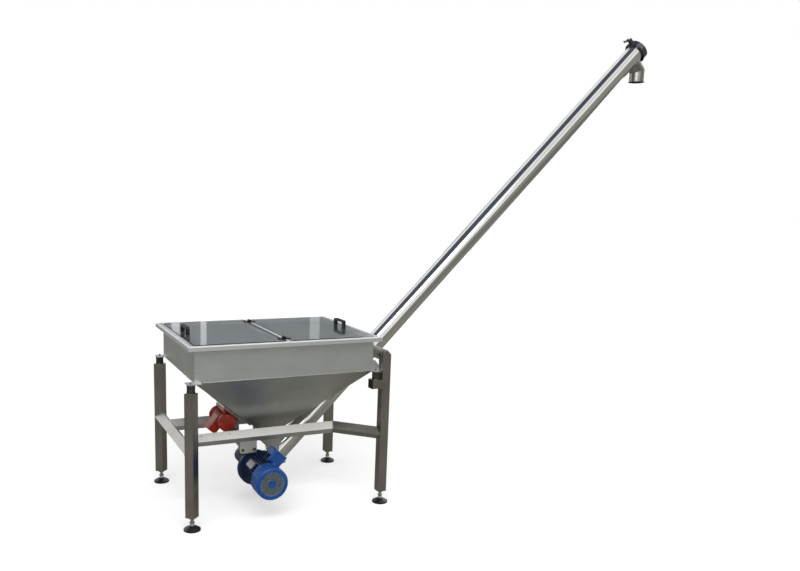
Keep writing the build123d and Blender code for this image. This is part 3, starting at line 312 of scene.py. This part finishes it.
def mottled(name, spot, first, second, roughness, edges=None, detail=3, **sockets):
    """A finish whose colour and gloss drift between two values in soft spots of the given size."""
    finish = Finish(name, **sockets)
    finish.cloud = finish.noise(spot, detail)
    share = finish.between(finish.cloud, *edges) if edges else finish.cloud
    finish.paint({
        "Base Color": finish.mix(share, first, second),
        "Roughness": finish.between(finish.cloud, 0.3, 0.7, *roughness),
    })
    return finish


weld_metal = mottled("weld metal", 0.012, colour(0.30, 0.27, 0.23), colour(0.44, 0.42, 0.38),
                     roughness=(0.3, 0.45), edges=(0.35, 0.65), Metallic=1.0)
frame_bead = 0.0028
frame_welds = bmesh.new()
for joint in (("left_side_rail", "left_legs"), ("long_rails", "left_side_rail"),
              ("corner_braces", "long_rails"), ("corner_braces", "right_legs"),
              ("portal_crossbar", "right_legs")):
    for path in seams(*joint):
        bead(frame_welds, path, frame_bead)
add("frame_welds", frame_welds, "frame", weld_metal)

# Two button-head screws in the upper face of the front rail, near its left end. They are plated steel
# with a hexagon socket, driven into tapped holes in the tube's wall.

legs_middle_x, legs_middle_y = -1013.36, 6.5


def drawn(x, y, z):
    """A point given in millimetres from the floor between the four legs."""
    return Vector((x + legs_middle_x, y + legs_middle_y, z)) / 1000


def axes_at(origin, x_axis, z_axis):
    """The place of a piece's own axes."""
    x_axis, z_axis = Vector(x_axis).normalized(), Vector(z_axis).normalized()
    turn = Matrix((x_axis, z_axis.cross(x_axis), z_axis)).transposed().to_4x4()
    return Matrix.Translation(origin) @ turn


def turned(mesh, place, profile, sides=24):
    """A turned shape on the place's Z: rings of (radius, height), with six flats where marked True."""
    rings = []
    for radius, height, *hexed in profile:
        ring = []
        for i in range(sides):
            angle = math.tau * i / sides
            flat = math.cos((angle + math.pi / 6) % (math.pi / 3) - math.pi / 6) if hexed else 1.0
            ring.append(mesh.verts.new(place @ Vector((
                radius / flat * math.cos(angle), radius / flat * math.sin(angle), height))))
        rings.append(ring)
    for low, high in zip(rings, rings[1:]):
        for i in range(sides):
            mesh.faces.new((low[i - 1], low[i], high[i], high[i - 1]))
    mesh.faces.new(rings[0][::-1])
    mesh.faces.new(rings[-1])


def button_head(mesh, place, radius):
    """A domed screw head with a hexagon socket, sunk a little into what it holds."""
    height, socket = radius * 0.55, radius * 0.5
    turned(mesh, place, [(radius, -radius * 0.4), (radius, height * 0.15), (radius * 0.93, height * 0.5),
                         (radius * 0.75, height * 0.85), (radius * 0.58, height),
                         (socket, height, True), (socket, height * 0.2, True)])


screw_steel = mottled("screw steel", 0.004, colour(0.5, 0.5, 0.48), colour(0.3, 0.3, 0.29),
                      roughness=(0.25, 0.4), Metallic=1.0)
rail_face_y, rail_face_z = -178.4, 433
rail_screw_places, rail_screw_head = (-441, -287), 0.0038
rail_screws = bmesh.new()
for x in rail_screw_places:
    place = axes_at(drawn(x, rail_face_y, rail_face_z), (1, 0, 0), (0, -1, 1))
    button_head(rail_screws, place, rail_screw_head)
add("rail_screws", rail_screws, "frame", screw_steel)

# The black end caps of the buffer arms and the rubber of the buffers. The caps are moulded plastic
# with a lip; the buffers are rubber blocks bonded between plated discs, with studs through the arms.

black_plastic = mottled("black plastic", 0.05, colour(0.008, 0.008, 0.010), colour(0.022, 0.022, 0.025),
                        roughness=(0.3, 0.48), edges=(0.4, 0.7), detail=4, Specular_IOR_Level=0.3)
moulded_grain, moulded_depth = 0.0009, 0.00005
moulded_marks = black_plastic.noise(moulded_grain, 3)
black_plastic.paint({"Normal": black_plastic.bump(moulded_marks, moulded_depth)})
black_plastic.on("stub_end_caps", "left_lid_handle", "right_lid_handle", "cable_glands", "cooling_fan")
rubber = mottled("black rubber", 0.012, colour(0.010, 0.010, 0.012), colour(0.03, 0.03, 0.03),
                 roughness=(0.5, 0.75), edges=(0.35, 0.7), detail=4)
rubber_depth = 0.0002
rubber.paint({"Normal": rubber.bump(rubber.cloud, rubber_depth)})
rubber.on("rubber_buffers", "shaft_seal")
plated = mottled("plated steel", 0.006, colour(0.55, 0.55, 0.53), colour(0.38, 0.38, 0.36),
                 roughness=(0.24, 0.4), Metallic=1.0)
plated.on("lock_nuts", "buffer_studs", "saddle_u_bolts")

# The hexagon bolts and nuts of the drive's hangers, the motor's flange, the shaft seal and the
# vibrator. Their steel is painted much darker than the sheet round them, a painted shade for the
# shadow they stand in.

# Painted shade: the bolts' steel is made dark for the shadow they stand in.
bolt_steel_painted_shade = mottled("bolt steel with painted shade", 0.005, colour(0.26, 0.25, 0.24), colour(0.12, 0.12, 0.115),
                     roughness=(0.28, 0.45), Metallic=1.0)
bolt_steel_painted_shade.on("hex_bolts")

# The levelling feet: a moulded pad with a steel ball in its socket and a stem with a rolled thread.
# The pad is black and the stem bright; both are one node, so its finish changes with height.

foot = Finish("levelling foot")
foot_height = foot.node("SeparateXYZ", (), [foot.place()], output="Z")
pad_low, pad_high = 0.0255, 0.0265
is_stem = foot.between(foot_height, pad_low, pad_high)
foot_cloud = foot.noise(0.02, 3)
foot.paint({
    "Base Color": foot.mix(is_stem, colour(0.012, 0.012, 0.016), colour(0.5, 0.5, 0.48)),
    "Metallic": is_stem,
    "Roughness": foot.between(foot_cloud, 0.3, 0.7, 0.2, 0.34),
})
foot.on("left_front_foot", "right_front_foot", "left_back_foot", "right_back_foot")
thread_pitch, thread_radius, thread_depth = 0.002, 0.0083, 0.0011
thread_low, thread_high = 0.0475, 0.144
thread_steps = 16
for corner in ("left_front", "right_front", "left_back", "right_back"):
    low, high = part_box(corner + "_foot")
    middle = (Vector(low) + Vector(high)) / 2
    thread = bmesh.new()
    crests, roots = [], []
    for i in range(int((thread_high - thread_low) / thread_pitch * thread_steps)):
        angle, rise = math.tau * i / thread_steps, thread_low + thread_pitch * i / thread_steps
        way = Vector((math.cos(angle), math.sin(angle), 0))
        base = Vector((middle.x, middle.y, rise))
        roots.append(thread.verts.new(base + way * (thread_radius - thread_depth)))
        crests.append(thread.verts.new(base + way * thread_radius + Vector((0, 0, thread_pitch / 2))))
    for i in range(len(roots) - 1):
        thread.faces.new((roots[i], roots[i + 1], crests[i + 1], crests[i]))
        turn_on = i + thread_steps
        if turn_on + 1 < len(roots):
            thread.faces.new((crests[i], crests[i + 1], roots[turn_on + 1], roots[turn_on]))
    add(corner + "_thread", thread, corner + "_leveller", plated)

# The hopper: folded and welded from brushed sheet, with a folded rim, a divider across its mouth and
# lugs on its ends. The slopes meet in ground welds, and the light lies on the sheet in soft clouds.

skirt_left, skirt_right, skirt_half, skirt_foot = -524, 476, 367, 773
outlet_left, outlet_right, outlet_half, outlet_height = -71, 43, 57, 392
sheet = steel("hopper sheet", along_x, colour(0.56, 0.565, 0.545), colour(0.46, 0.465, 0.45), 0.40,
              grain_length=0.22, grain_width=0.0009, depth=0.00003)
sheet_height = sheet.node("SeparateXYZ", (), [sheet.place()], output="Z")
skirt_low, skirt_high = 0.7725, 0.7735
rim_low, rim_high = 0.940, 0.944
# The upright skirt is painted lighter than the slopes below it: a painted highlight for the light it
# catches.
skirt_painted_highlight = sheet.mix(sheet.tone, colour(0.63, 0.66, 0.66), colour(0.72, 0.75, 0.75))
wall_colour_with_painted_light = sheet.mix(sheet.between(sheet_height, skirt_low, skirt_high), sheet.sheen, skirt_painted_highlight)
# The rim's band is painted almost white: a painted highlight for its rolled edge.
rim_painted_highlight_mask = sheet.between(sheet_height, rim_low, rim_high)
sheet.paint({"Base Color": sheet.mix(rim_painted_highlight_mask, wall_colour_with_painted_light, colour(0.93, 0.94, 0.95))})
sheet.on("hopper_body", "divider_bar", "inlet_neck", "hopper_lugs")


def corners(left, right, half, height):
    """The four corners of the hopper's section at a height, in order round it."""
    places = ((left, -half), (right, -half), (right, half), (left, half))
    return [drawn(x, y, height) for x, y in places]


slope_bead, outlet_bead, skirt_bead = 0.0016, 0.0018, 0.0012
skirt_corners = corners(skirt_left, skirt_right, skirt_half, skirt_foot)
outlet_corners = corners(outlet_left, outlet_right, outlet_half, outlet_height)
hopper_welds = bmesh.new()
for top, bottom in zip(skirt_corners, outlet_corners):
    bead(hopper_welds, [top, bottom], slope_bead)
bead(hopper_welds, outlet_corners + outlet_corners[:1], outlet_bead)
bead(hopper_welds, skirt_corners + skirt_corners[:1], skirt_bead)
add("hopper_welds", hopper_welds, "frame", sheet)
neck_welds = bmesh.new()
for path in seams("inlet_neck", "conveyor_tube"):
    bead(neck_welds, path, outlet_bead)
add("neck_welds", neck_welds, "frame", weld_metal)

# The lids: clear acrylic panes that turn on the divider, polished on both faces and sawn on the edges.
# Two screws draw each bridge handle down from below, and two hold each black hinge leaf from above.
# Where a pane's border lies on the rim, metal shines through it, so it fades there.

hinge_line, hinge_reach = -24, 300
mouth_half_length, mouth_half_width, fade = 0.500, 0.367, 0.0005
border_strength = 0.15
pane = Finish("clear pane", Transmission_Weight=1.0, IOR=1.49, Base_Color=colour(0.93, 0.955, 0.96))
smear = pane.noise(0.22, 3)
mouth_middle = drawn(hinge_line, 0, 0)
from_middle = pane.node("VectorMath", {"operation": "SUBTRACT"}, [pane.place(), mouth_middle])
from_middle = pane.node("VectorMath", {"operation": "ABSOLUTE"}, [from_middle])
out_x = pane.node("SeparateXYZ", (), [from_middle], output="X")
over_ends = pane.between(out_x, mouth_half_length, mouth_half_length + fade)
over_sides = pane.between(out_x.output("Y"), mouth_half_width, mouth_half_width + fade)
off_rim = (1 - over_ends) * (1 - over_sides)
pane.paint({
    "Roughness": pane.between(smear, 0.4, 0.75, 0.01, 0.05),
    "Alpha": off_rim * (1 - border_strength) + border_strength,
})
upright = pane.node("SeparateXYZ", (), [pane.node("TexCoord", output="Normal")], output="Z")
sawn_colour = pane.mix(smear, colour(0.62, 0.66, 0.67), colour(0.74, 0.77, 0.78))
sawn = pane.node("BsdfPrincipled", (), {"Roughness": 0.4, "Base Color": sawn_colour})
polished = Value(pane, pane.shader.outputs[0])
surface = pane.node("MixShader", (), [pane.between(upright * upright, 0.4, 0.6), sawn, polished])
pane.feed(pane.tree.nodes["Material Output"].inputs["Surface"], surface)
pane.on("left_lid", "right_lid")
dull_plastic = mottled("dull black plastic", 0.03, colour(0.004, 0.004, 0.006),
                       colour(0.012, 0.012, 0.014), roughness=(0.5, 0.65), Specular_IOR_Level=0.08)
dull_plastic.on("left_hinge_leaves", "right_hinge_leaves", "hinge_bases")
pane_foot, leaf_top = 963, 971
handle_distance, handle_half = 459, 57
leaf_distance, leaf_screw_half = 22, 9
handle_screw_head, leaf_screw_head = 0.0045, 0.0034
for side, turn in (("left", -1), ("right", 1)):
    screws = bmesh.new()
    for end in (-1, 1):
        place = drawn(hinge_line + turn * handle_distance, end * handle_half, pane_foot)
        button_head(screws, axes_at(place, (1, 0, 0), (0, 0, -1)), handle_screw_head)
        for step in (-leaf_screw_half, leaf_screw_half):
            place = drawn(hinge_line + turn * leaf_distance, end * hinge_reach + step, leaf_top)
            button_head(screws, axes_at(place, (1, 0, 0), (0, 0, 1)), leaf_screw_head)
    add(side + "_lid_screws", screws, side + "_cover", screw_steel)

# The sleeve between the hopper's spigot and the neck. It is moulded in pale silicone and held by two
# steel bands, each drawn tight by a worm screw in a small housing at the front.

silicone = Finish("silicone", Roughness=0.5)
silicone_light, silicone_dark = colour(0.74, 0.73, 0.69), colour(0.62, 0.61, 0.57)
silicone.paint({"Base Color": silicone.mix(silicone.noise(0.02, 3), silicone_light, silicone_dark)})
silicone.on("inlet_sleeve")


def block(mesh, place, low, high, bevel):
    """A small block between two corners on the place's axes, with its edges broken."""
    middle = (Vector(low) + Vector(high)) / 2
    size = Vector(high) - Vector(low)
    fit = place @ Matrix.Translation(middle) @ Matrix.Diagonal((*size, 1))
    # Bevelled in a mesh of its own, because faces added after a bevel fall in a different order each run.
    alone = bmesh.new()
    bmesh.ops.create_cube(alone, size=1.0, matrix=fit)
    bmesh.ops.bevel(alone, geom=alone.edges[:], offset=bevel, segments=2, affect="EDGES", profile=0.5)
    made = bpy.data.meshes.new("block")
    alone.to_mesh(made)
    alone.free()
    mesh.from_mesh(made)
    bpy.data.meshes.remove(made)


band_half, band_screw_offset = 0.0035, -0.02
housing_half_length, housing_half_width = 0.008, 0.005
housing_low, housing_high, housing_bevel = -0.0005, 0.006, 0.0012
band_screw_height, band_screw_radius, band_screw_socket = 0.0032, 0.0034, 0.0022
band_screws = bmesh.new()
band_low, band_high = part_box("sleeve_bands")
band_middle_x = (band_low[0] + band_high[0]) / 2
for z in (band_low[2] + band_half, band_high[2] - band_half):
    front = Vector((band_middle_x + band_screw_offset, band_low[1], z))
    place = axes_at(front, (1, 0, 0), (0, -1, 0))
    block(band_screws, place, (-housing_half_length, -housing_half_width, housing_low),
          (housing_half_length, housing_half_width, housing_high), housing_bevel)
    head = axes_at(place @ Vector((housing_half_length, 0, band_screw_height)), (0, 0, 1), (1, 0, 0))
    turned(band_screws, head, [(band_screw_radius, -0.001), (band_screw_radius, 0.004), (0.003, 0.0045),
                               (band_screw_socket, 0.0045, True), (band_screw_socket, 0.003, True)])
add("band_screws", band_screws, "frame", screw_steel)

# The conveyor tube: drawn stainless tube that is polished lengthwise, so it reflects in long stripes.
# The ferrule at its top end and the tube's three lengths are welded and ground flush.

up_the_slope = (0, -45, 0)
tube_steel = steel("tube steel", up_the_slope, colour(0.77, 0.765, 0.75), colour(0.69, 0.685, 0.67),
                   0.09, grain_length=0.9, grain_width=0.0022, depth=0.00002)
tube_steel.on("conveyor_tube")

# The clamp that holds the cap on the tube's upper end: a cast ring in two halves, drawn together by a
# swing bolt with a wing nut. The cap and the clamp are painted much darker than the tube, a painted
# reflection of the dark surroundings that they mirror.

# Painted reflection: the clamp's steel is made dark for the dark surroundings it mirrors.
clamp_steel_painted_reflection = steel("clamp steel with painted reflection", along_y, colour(0.19, 0.185, 0.205), colour(0.11, 0.11, 0.125),
                    0.25, grain_length=0.03)
clamp_steel_painted_reflection.on("clamp_ring", "tube_end_cap", "swing_bolt", "wing_nut")

# The spout: two lengths of stainless tube, mitred together and welded on under the tube's upper end.
# The seams are left as welded, with their ripples.

# The spout's steel is painted much darker than the tube's, a painted reflection of the dull floor below
# it.
spout_steel_painted_reflection = steel("spout steel with painted reflection", along_z, colour(0.40, 0.395, 0.375), colour(0.29, 0.285, 0.27), 0.32)
spout_steel_painted_reflection.on("outlet_spout")
spout_sharp, spout_bead = 15, 0.0016
spout_welds = bmesh.new()
for path in seams("outlet_spout", "conveyor_tube", spout_sharp):
    bead(spout_welds, path, spout_bead)
add("spout_welds", spout_welds, "frame", weld_metal)

# The plain steel pieces of the tube, the screw and the drive: plates, straps, shafts and bearings, cut
# or turned and left bare. The hangers are painted brighter than the other plate, a painted highlight
# for the light they catch, and the worm wheel is bronze.

plate_steel = steel("plate steel", up_the_slope, colour(0.52, 0.51, 0.49), colour(0.42, 0.41, 0.39), 0.32)
plate_steel.on("tube_saddle", "drive_beam", "sleeve_bands", "vibrator_mount", "screw_shaft",
               "screw_flights", "motor_rotor", "worm_shaft", "vibrator_rotor", "ball_bearings",
               "seal_housing")
# Painted highlight: the hangers' plate is made brighter for the light it catches.
hanger_steel_painted_highlight = steel("hanger steel with painted highlight", along_x, colour(0.80, 0.79, 0.76), colour(0.70, 0.69, 0.66), 0.5)
hanger_steel_painted_highlight.on("drive_hangers")
bronze = Finish("bronze", Metallic=1.0, Base_Color=colour(0.6, 0.38, 0.16), Roughness=0.3)
bronze.on("worm_wheel")

# The geared motor: castings and pressed covers in blue gloss paint, with a wire mesh round the fan
# cover's hub. Screws with hexagon sockets hold the pressed cover and the terminal box's lid. The
# castings are painted a much darker blue than the covers, a painted shade for the shadow on the
# frame's fins, the flange and the gearbox.


def paintwork(name, light, dark, roughness):
    """Sprayed gloss paint: a slight orange peel, and a little dust that dulls it in clouds."""
    peel, peel_depth = 0.0018, 0.00006
    finish = mottled(name, 0.05, dark, light, roughness=(roughness - 0.05, roughness + 0.1),
                     edges=(0.3, 0.7), detail=4, Coat_Weight=0.25, Coat_Roughness=0.12,
                     Specular_IOR_Level=0.4)
    finish.paint({"Normal": finish.bump(finish.noise(peel, 2), peel_depth)})
    return finish


cover_light = colour(0.0, 0.072, 0.31)
cover_dark = colour(0.0, 0.050, 0.23)
cover_paint = paintwork("cover paint", cover_light, cover_dark, 0.3)
cover_paint.on("fan_cover", "terminal_box", "terminal_box_lid")
# Painted shade: the castings' blue is made much darker than the covers' for the shadow they lie in.
casting_light_painted_shade, casting_dark_painted_shade = colour(0.005, 0.024, 0.085), colour(0.004, 0.013, 0.045)
casting_paint_painted_shade = paintwork("casting paint with painted shade", casting_light_painted_shade, casting_dark_painted_shade, 0.38)
casting_paint_painted_shade.on("motor_frame", "motor_flange", "gearbox_housing", "gearbox_cover")

screw_foot_x = -183.8
gear_station, gear_centres, motor_start = 189, 110, -140
slant = math.sqrt(0.5)
motor_line = drawn(screw_foot_x + (gear_station - gear_centres) * slant, motor_start,
                   (gear_station + gear_centres) * slant)
motor_axes = axes_at(motor_line, (1, 0, 1), (0, -1, 0))
hub_low, hub_high, mesh_low, mesh_high = 0.0198, 0.0206, 0.0655, 0.0665
wire_mesh = paintwork("wire mesh and hub", cover_light, cover_dark, 0.3)
from_axis = wire_mesh.node("VectorMath", {"operation": "SUBTRACT"}, [wire_mesh.place(), motor_line])
off_axis = wire_mesh.node("VectorMath", {"operation": "MULTIPLY"}, [from_axis, Vector((1, 0, 1))])
reach = wire_mesh.node("VectorMath", {"operation": "LENGTH"}, [off_axis], output="Value")
hub_paint = Value(wire_mesh, wire_mesh.shader.inputs["Base Color"].links[0].from_socket)
in_mesh = 1 - wire_mesh.between(reach, mesh_low, mesh_high)
is_mesh = wire_mesh.between(reach, hub_low, hub_high) * in_mesh
wire_mesh.paint({"Base Color": wire_mesh.mix(is_mesh, hub_paint, colour(0.16, 0.20, 0.225))})
wire_mesh.on("fan_grille")


def round_axis(axes, angle, radius, along=0.0):
    """Axes on a round wall, looking outward, at an angle and a distance along its axis."""
    way = Vector((math.cos(math.radians(angle)), math.sin(math.radians(angle)), 0))
    place = axes @ (way * radius + Vector((0, 0, along)))
    return axes_at(place, axes.to_3x3() @ Vector((0, 0, 1)), axes.to_3x3() @ way)


def cap_head(mesh, place, radius):
    """A straight screw head with a hexagon socket, sunk a little into what it holds."""
    height, socket = radius * 1.1, radius * 0.55
    turned(mesh, place, [(radius, -radius * 0.4), (radius, height * 0.9), (radius * 0.9, height),
                         (socket, height, True), (socket, height * 0.4, True)])


cover_radius, cover_screw_along, cover_screw_angles = 0.089, 0.2085, (20, 110, 200, 290)
box_lid_top, box_screw_half, box_screw_stations = 0.152, 0.036, (0.057, 0.135)
cover_screw_head = 0.0042
cover_screws = bmesh.new()
for angle in cover_screw_angles:
    button_head(cover_screws, round_axis(motor_axes, angle, cover_radius, cover_screw_along),
                cover_screw_head)
for across in (-box_screw_half, box_screw_half):
    for along in box_screw_stations:
        place = motor_axes @ Vector((box_lid_top, across, along))
        cap_head(cover_screws, axes_at(place, (0, 1, 0), motor_axes.to_3x3() @ Vector((1, 0, 0))),
                 cover_screw_head)
add("motor_cover_screws", cover_screws, "frame", screw_steel)

# The rating plate, which is left bare: a thin plate of satin metal, held by four rivets on a pad that
# is cast across the motor's fins and painted with them.

pad_half, pad_foot, pad_top, pad_bevel = 0.021, 0.076, 0.0848, 0.0015
pad_start, pad_end = 0.060, 0.152
plate_pad = bmesh.new()
block(plate_pad, motor_axes, (-pad_half, pad_foot, pad_start), (pad_half, pad_top, pad_end), pad_bevel)
# The pad takes the castings' darker blue, with its painted shade.
add("rating_plate_pad", plate_pad, "frame", casting_paint_painted_shade)
plate_metal = Finish("bare plate", Metallic=1.0, Roughness=0.42)
plate_light, plate_dark = colour(0.62, 0.62, 0.62), colour(0.48, 0.48, 0.49)
plate_metal.paint({"Base Color": plate_metal.mix(plate_metal.noise(0.01, 3), plate_light, plate_dark)})
plate_half, plate_foot, plate_top, plate_bevel = 0.019, 0.0846, 0.0855, 0.0003
plate_start, plate_end, rivet_inset = 0.0625, 0.1495, 0.003
rivet_profile = [(0.0016, -0.0003), (0.0015, 0.0004), (0.001, 0.0009), (0.0003, 0.001)]
rating_plate = bmesh.new()
block(rating_plate, motor_axes, (-plate_half, plate_foot, plate_start),
      (plate_half, plate_top, plate_end), plate_bevel)
for across in (-plate_half + rivet_inset, plate_half - rivet_inset):
    for along in (plate_start + rivet_inset, plate_end - rivet_inset):
        place = motor_axes @ Vector((across, plate_top, along))
        rivet = axes_at(place, motor_axes.to_3x3() @ Vector((0, 0, 1)),
                        motor_axes.to_3x3() @ Vector((0, 1, 0)))
        turned(rating_plate, rivet, rivet_profile, sides=12)
add("rating_plate", rating_plate, "frame", plate_metal)

# The gearbox's three hexagon plugs, for filling, for the oil's level and for draining. They are plated
# steel, screwed into the round housing with a flange that presses on a seal.

gear_axes = axes_at(drawn(screw_foot_x + gear_station * slant, 0, gear_station * slant),
                    (0, 1, 0), (1, 0, 1))
housing_radius, plug_angles = 0.0955, (-90, -35, 215)
plug_flange, plug_hexagon = 0.0125, 0.0095
plug_profile = [(plug_flange, -0.002), (plug_flange, 0.0015), (plug_hexagon, 0.002),
                (plug_hexagon, 0.002, True), (plug_hexagon, 0.008, True), (0.0085, 0.0088, True)]
plugs = bmesh.new()
for angle in plug_angles:
    turned(plugs, round_axis(gear_axes, angle, housing_radius), plug_profile)
add("gearbox_plugs", plugs, "frame", plated)

# The vibrator: a ribbed casting with a cup over the weights at each end, in gloss red-orange paint,
# each cup held by four cap screws.

red_paint = paintwork("red paint", colour(0.40, 0.028, 0.008), colour(0.30, 0.016, 0.005), 0.3)
red_paint.on("vibrator_body", "vibrator_covers")
slope_top = Vector((skirt_left, 0, skirt_foot))
slope_foot = Vector((outlet_left, 0, outlet_height))
down_slope = (slope_foot - slope_top).normalized()
outward = Vector((down_slope.z, 0, -down_slope.x))
vibrator_station, vibrator_rise = 382, 71
cup_end, cup_screw_circle, cup_screw_angles = 102, 41, (45, 135, 225, 315)
vibrator_middle = slope_top + down_slope * vibrator_station + outward * vibrator_rise
vibrator_screws = bmesh.new()
for side in (-1, 1):
    for angle in cup_screw_angles:
        way = down_slope * math.cos(math.radians(angle)) + outward * math.sin(math.radians(angle))
        place = vibrator_middle + way * cup_screw_circle + Vector((0, side * cup_end, 0))
        cap_head(vibrator_screws, axes_at(drawn(*place), down_slope, (0, side, 0)), cover_screw_head)
add("vibrator_screws", vibrator_screws, "frame", screw_steel)

# The camera, where the photograph was taken from: its place in millimetres from the legs' middle, its
# heading, dip and tilt, and its axis and focal length in the photograph's pixels.

photo_width = 800
photo_height = 571
photo_axis = (347.2, 347.4)
photo_focal = 776.84
sensor_width = 36.0
camera_reach = 100
camera_place = drawn(-1448.65, -4121.19, 1694.19)
heading = math.radians(25.18)
dip = math.radians(10.66)
tilt = math.radians(1.66)
ahead = Vector((math.sin(heading) * math.cos(dip), math.cos(heading) * math.cos(dip), -math.sin(dip)))
level_right = Vector((math.cos(heading), -math.sin(heading), 0))
level_up = level_right.cross(ahead)
right = level_right * math.cos(tilt) + level_up * math.sin(tilt)
up = level_up * math.cos(tilt) - level_right * math.sin(tilt)
lens = bpy.data.cameras.new("camera")
lens.sensor_width = sensor_width
lens.lens = sensor_width * photo_focal / photo_width
lens.shift_x = (photo_width / 2 - photo_axis[0]) / photo_width
lens.shift_y = (photo_axis[1] - photo_height / 2) / photo_width
lens.clip_end = camera_reach
camera = bpy.data.objects.new("camera", lens)
camera_turn = Matrix((right, up, -ahead)).transposed().to_4x4()
camera.matrix_world = Matrix.Translation(camera_place) @ camera_turn
bpy.context.scene.collection.objects.link(camera)
bpy.context.scene.camera = camera

# The floor: plain white to the camera and through the lids, with the object's soft shadow on it. In
# the metal's reflections it is a workshop floor of grey-brown concrete.

white = colour(1, 1, 1)
concrete = colour(0.30, 0.295, 0.265)
floor_half = 20.0
glow_near, glow_far = 3.0, 9.0
floor_mesh = bpy.data.meshes.new("floor")
floor_mesh.from_pydata([(-floor_half, -floor_half, 0), (floor_half, -floor_half, 0),
                        (floor_half, floor_half, 0), (-floor_half, floor_half, 0)], [], [(0, 1, 2, 3)])
floor = bpy.data.objects.new("floor", floor_mesh)
bpy.context.scene.collection.objects.link(floor)
floor_finish = Finish("floor", Roughness=0.9, Specular_IOR_Level=0.0, Emission_Strength=1.0)


def kinds_of_ray(drawing):
    """Whether a ray comes from the camera, is a reflection, or has passed through a pane."""
    seen = drawing.node("LightPath", output="Is Camera Ray")
    through = seen.output("Is Transmission Ray")
    reflected = seen.output("Is Glossy Ray") * (1 - through)
    return seen, reflected, through


seen, reflected, through = kinds_of_ray(floor_finish)
middle = floor_finish.place()
distance = floor_finish.node("VectorMath", {"operation": "LENGTH"}, [middle], output="Value")
far_off = floor_finish.between(distance, glow_near, glow_far)
pale = floor_finish.mix(far_off, colour(0.42, 0.42, 0.42), white)
floor_finish.paint({
    "Base Color": floor_finish.mix(reflected, colour(0.80, 0.80, 0.80), concrete),
    "Emission Color": floor_finish.mix(seen + through, colour(0, 0, 0), pale),
})
floor_finish.on(floor)

# The hall that the object stands in. The camera sees it plain white; the metal and the lids mirror a
# dark roof over the tube, a far wall with tall windows, and the concrete below the horizon.

world = bpy.data.worlds.new("studio")
world.use_nodes = True
bpy.context.scene.world = world
studio = Drawing(world.node_tree)
east = studio.node("SeparateXYZ", (), [studio.node("TexCoord", output="Generated")], output="X")
north, rise = east.output("Y"), east.output("Z")
slate = colour(0.085, 0.10, 0.13)
seam_grey = colour(0.4, 0.42, 0.46)
wall_dark, window_light = colour(0.09, 0.105, 0.12), colour(0.9, 0.92, 0.95)
hall_low, hall_high = colour(0.85, 0.87, 0.9), colour(0.34, 0.36, 0.39)
plain = colour(0.62, 0.62, 0.62)


def strip(value, low, high, soft):
    """One between low and high, falling to zero over the soft edges."""
    return studio.between(value, low - soft, low) * (1 - studio.between(value, high, high + soft))


lean = (rise - east) * slant
south = 0 - north
above_tube = studio.between(lean, 0.1, 0.2)
roof_back, roof_front, roof_soft = 0.55, 0.56, 0.03
behind = studio.between(south + lean * roof_back, -roof_soft, roof_soft)
before = 1 - studio.between(south - lean * roof_front, -roof_soft, roof_soft)
roof = behind * before * above_tube * (1 - studio.between(east, -0.05, 0.05))
seam_slope, seam_half, seam_soft = 1.6, 0.07, 0.04
seam = strip(south - lean * seam_slope, -seam_half, seam_half, seam_soft) * above_tube
low_front = (1 - studio.between(lean, -0.06, 0.0)) * studio.between(south, 0.35, 0.5)
below = 1 - studio.between(rise, 0.05, 0.09) * (1 - low_front)
low_down = 1 - studio.between(rise, 0.3, 0.5)
far_wall = studio.between(north, 0.5, 0.65) * low_down * studio.between(east, 0.0, 0.1)
bearing = east / north
windows = studio.between(bearing, 0.45, 0.52) * 0.25
for low, high, soft, brightness in ((0.218, 0.226, 0.003, 0.9), (0.256, 0.262, 0.002, 0.9),
                                    (0.412, 0.425, 0.002, 0.5)):
    windows = windows + strip(bearing, low, high, soft) * brightness
room = studio.mix(far_wall, white, studio.mix(windows, wall_dark, window_light))
room = studio.mix(seam, room, seam_grey)
room = studio.mix(roof, room, slate)
room = studio.mix(below, room, concrete)
seen, reflected, through = kinds_of_ray(studio)
upward = studio.between(rise, 0.1, 0.2)
light = studio.mix(reflected, plain, room)
hall = studio.mix(studio.between(rise, 0.3, 0.45), hall_low, hall_high)
light = studio.mix(through * upward, light, hall)
light = studio.mix(seen + through * (1 - upward), light, white)
studio.feed(studio.tree.nodes["Background"].inputs["Color"], light)

# The lamps: three soft boxes on stands. The key lights the front from the left, the overhead one fills
# the front from above, and the fill comes from behind on the right. Colours render as written.


def softbox(name, place, aim, size, power):
    """A square-cornered lamp at a place in metres that shines at another, with its power in watts."""
    lamp = bpy.data.lights.new(name, "AREA")
    lamp.shape = "RECTANGLE"
    lamp.size, lamp.size_y = size
    lamp.energy = power
    box = bpy.data.objects.new(name, lamp)
    box.location = place
    box.rotation_euler = (Vector(aim) - Vector(place)).to_track_quat("-Z", "Y").to_euler()
    bpy.context.scene.collection.objects.link(box)


softbox("key softbox", place=(-3.5, -3.0, 4.2), aim=(-0.6, 0, 0.8), size=(3.0, 3.0), power=60)
softbox("fill softbox", place=(5.0, 2.0, 3.0), aim=(0, 0, 1.0), size=(2.4, 2.4), power=34)
softbox("overhead softbox", place=(-1.2, -3.0, 4.2), aim=(-0.7, 0, 0.5), size=(2.6, 1.6), power=55)
bpy.context.scene.view_settings.view_transform = "Standard"
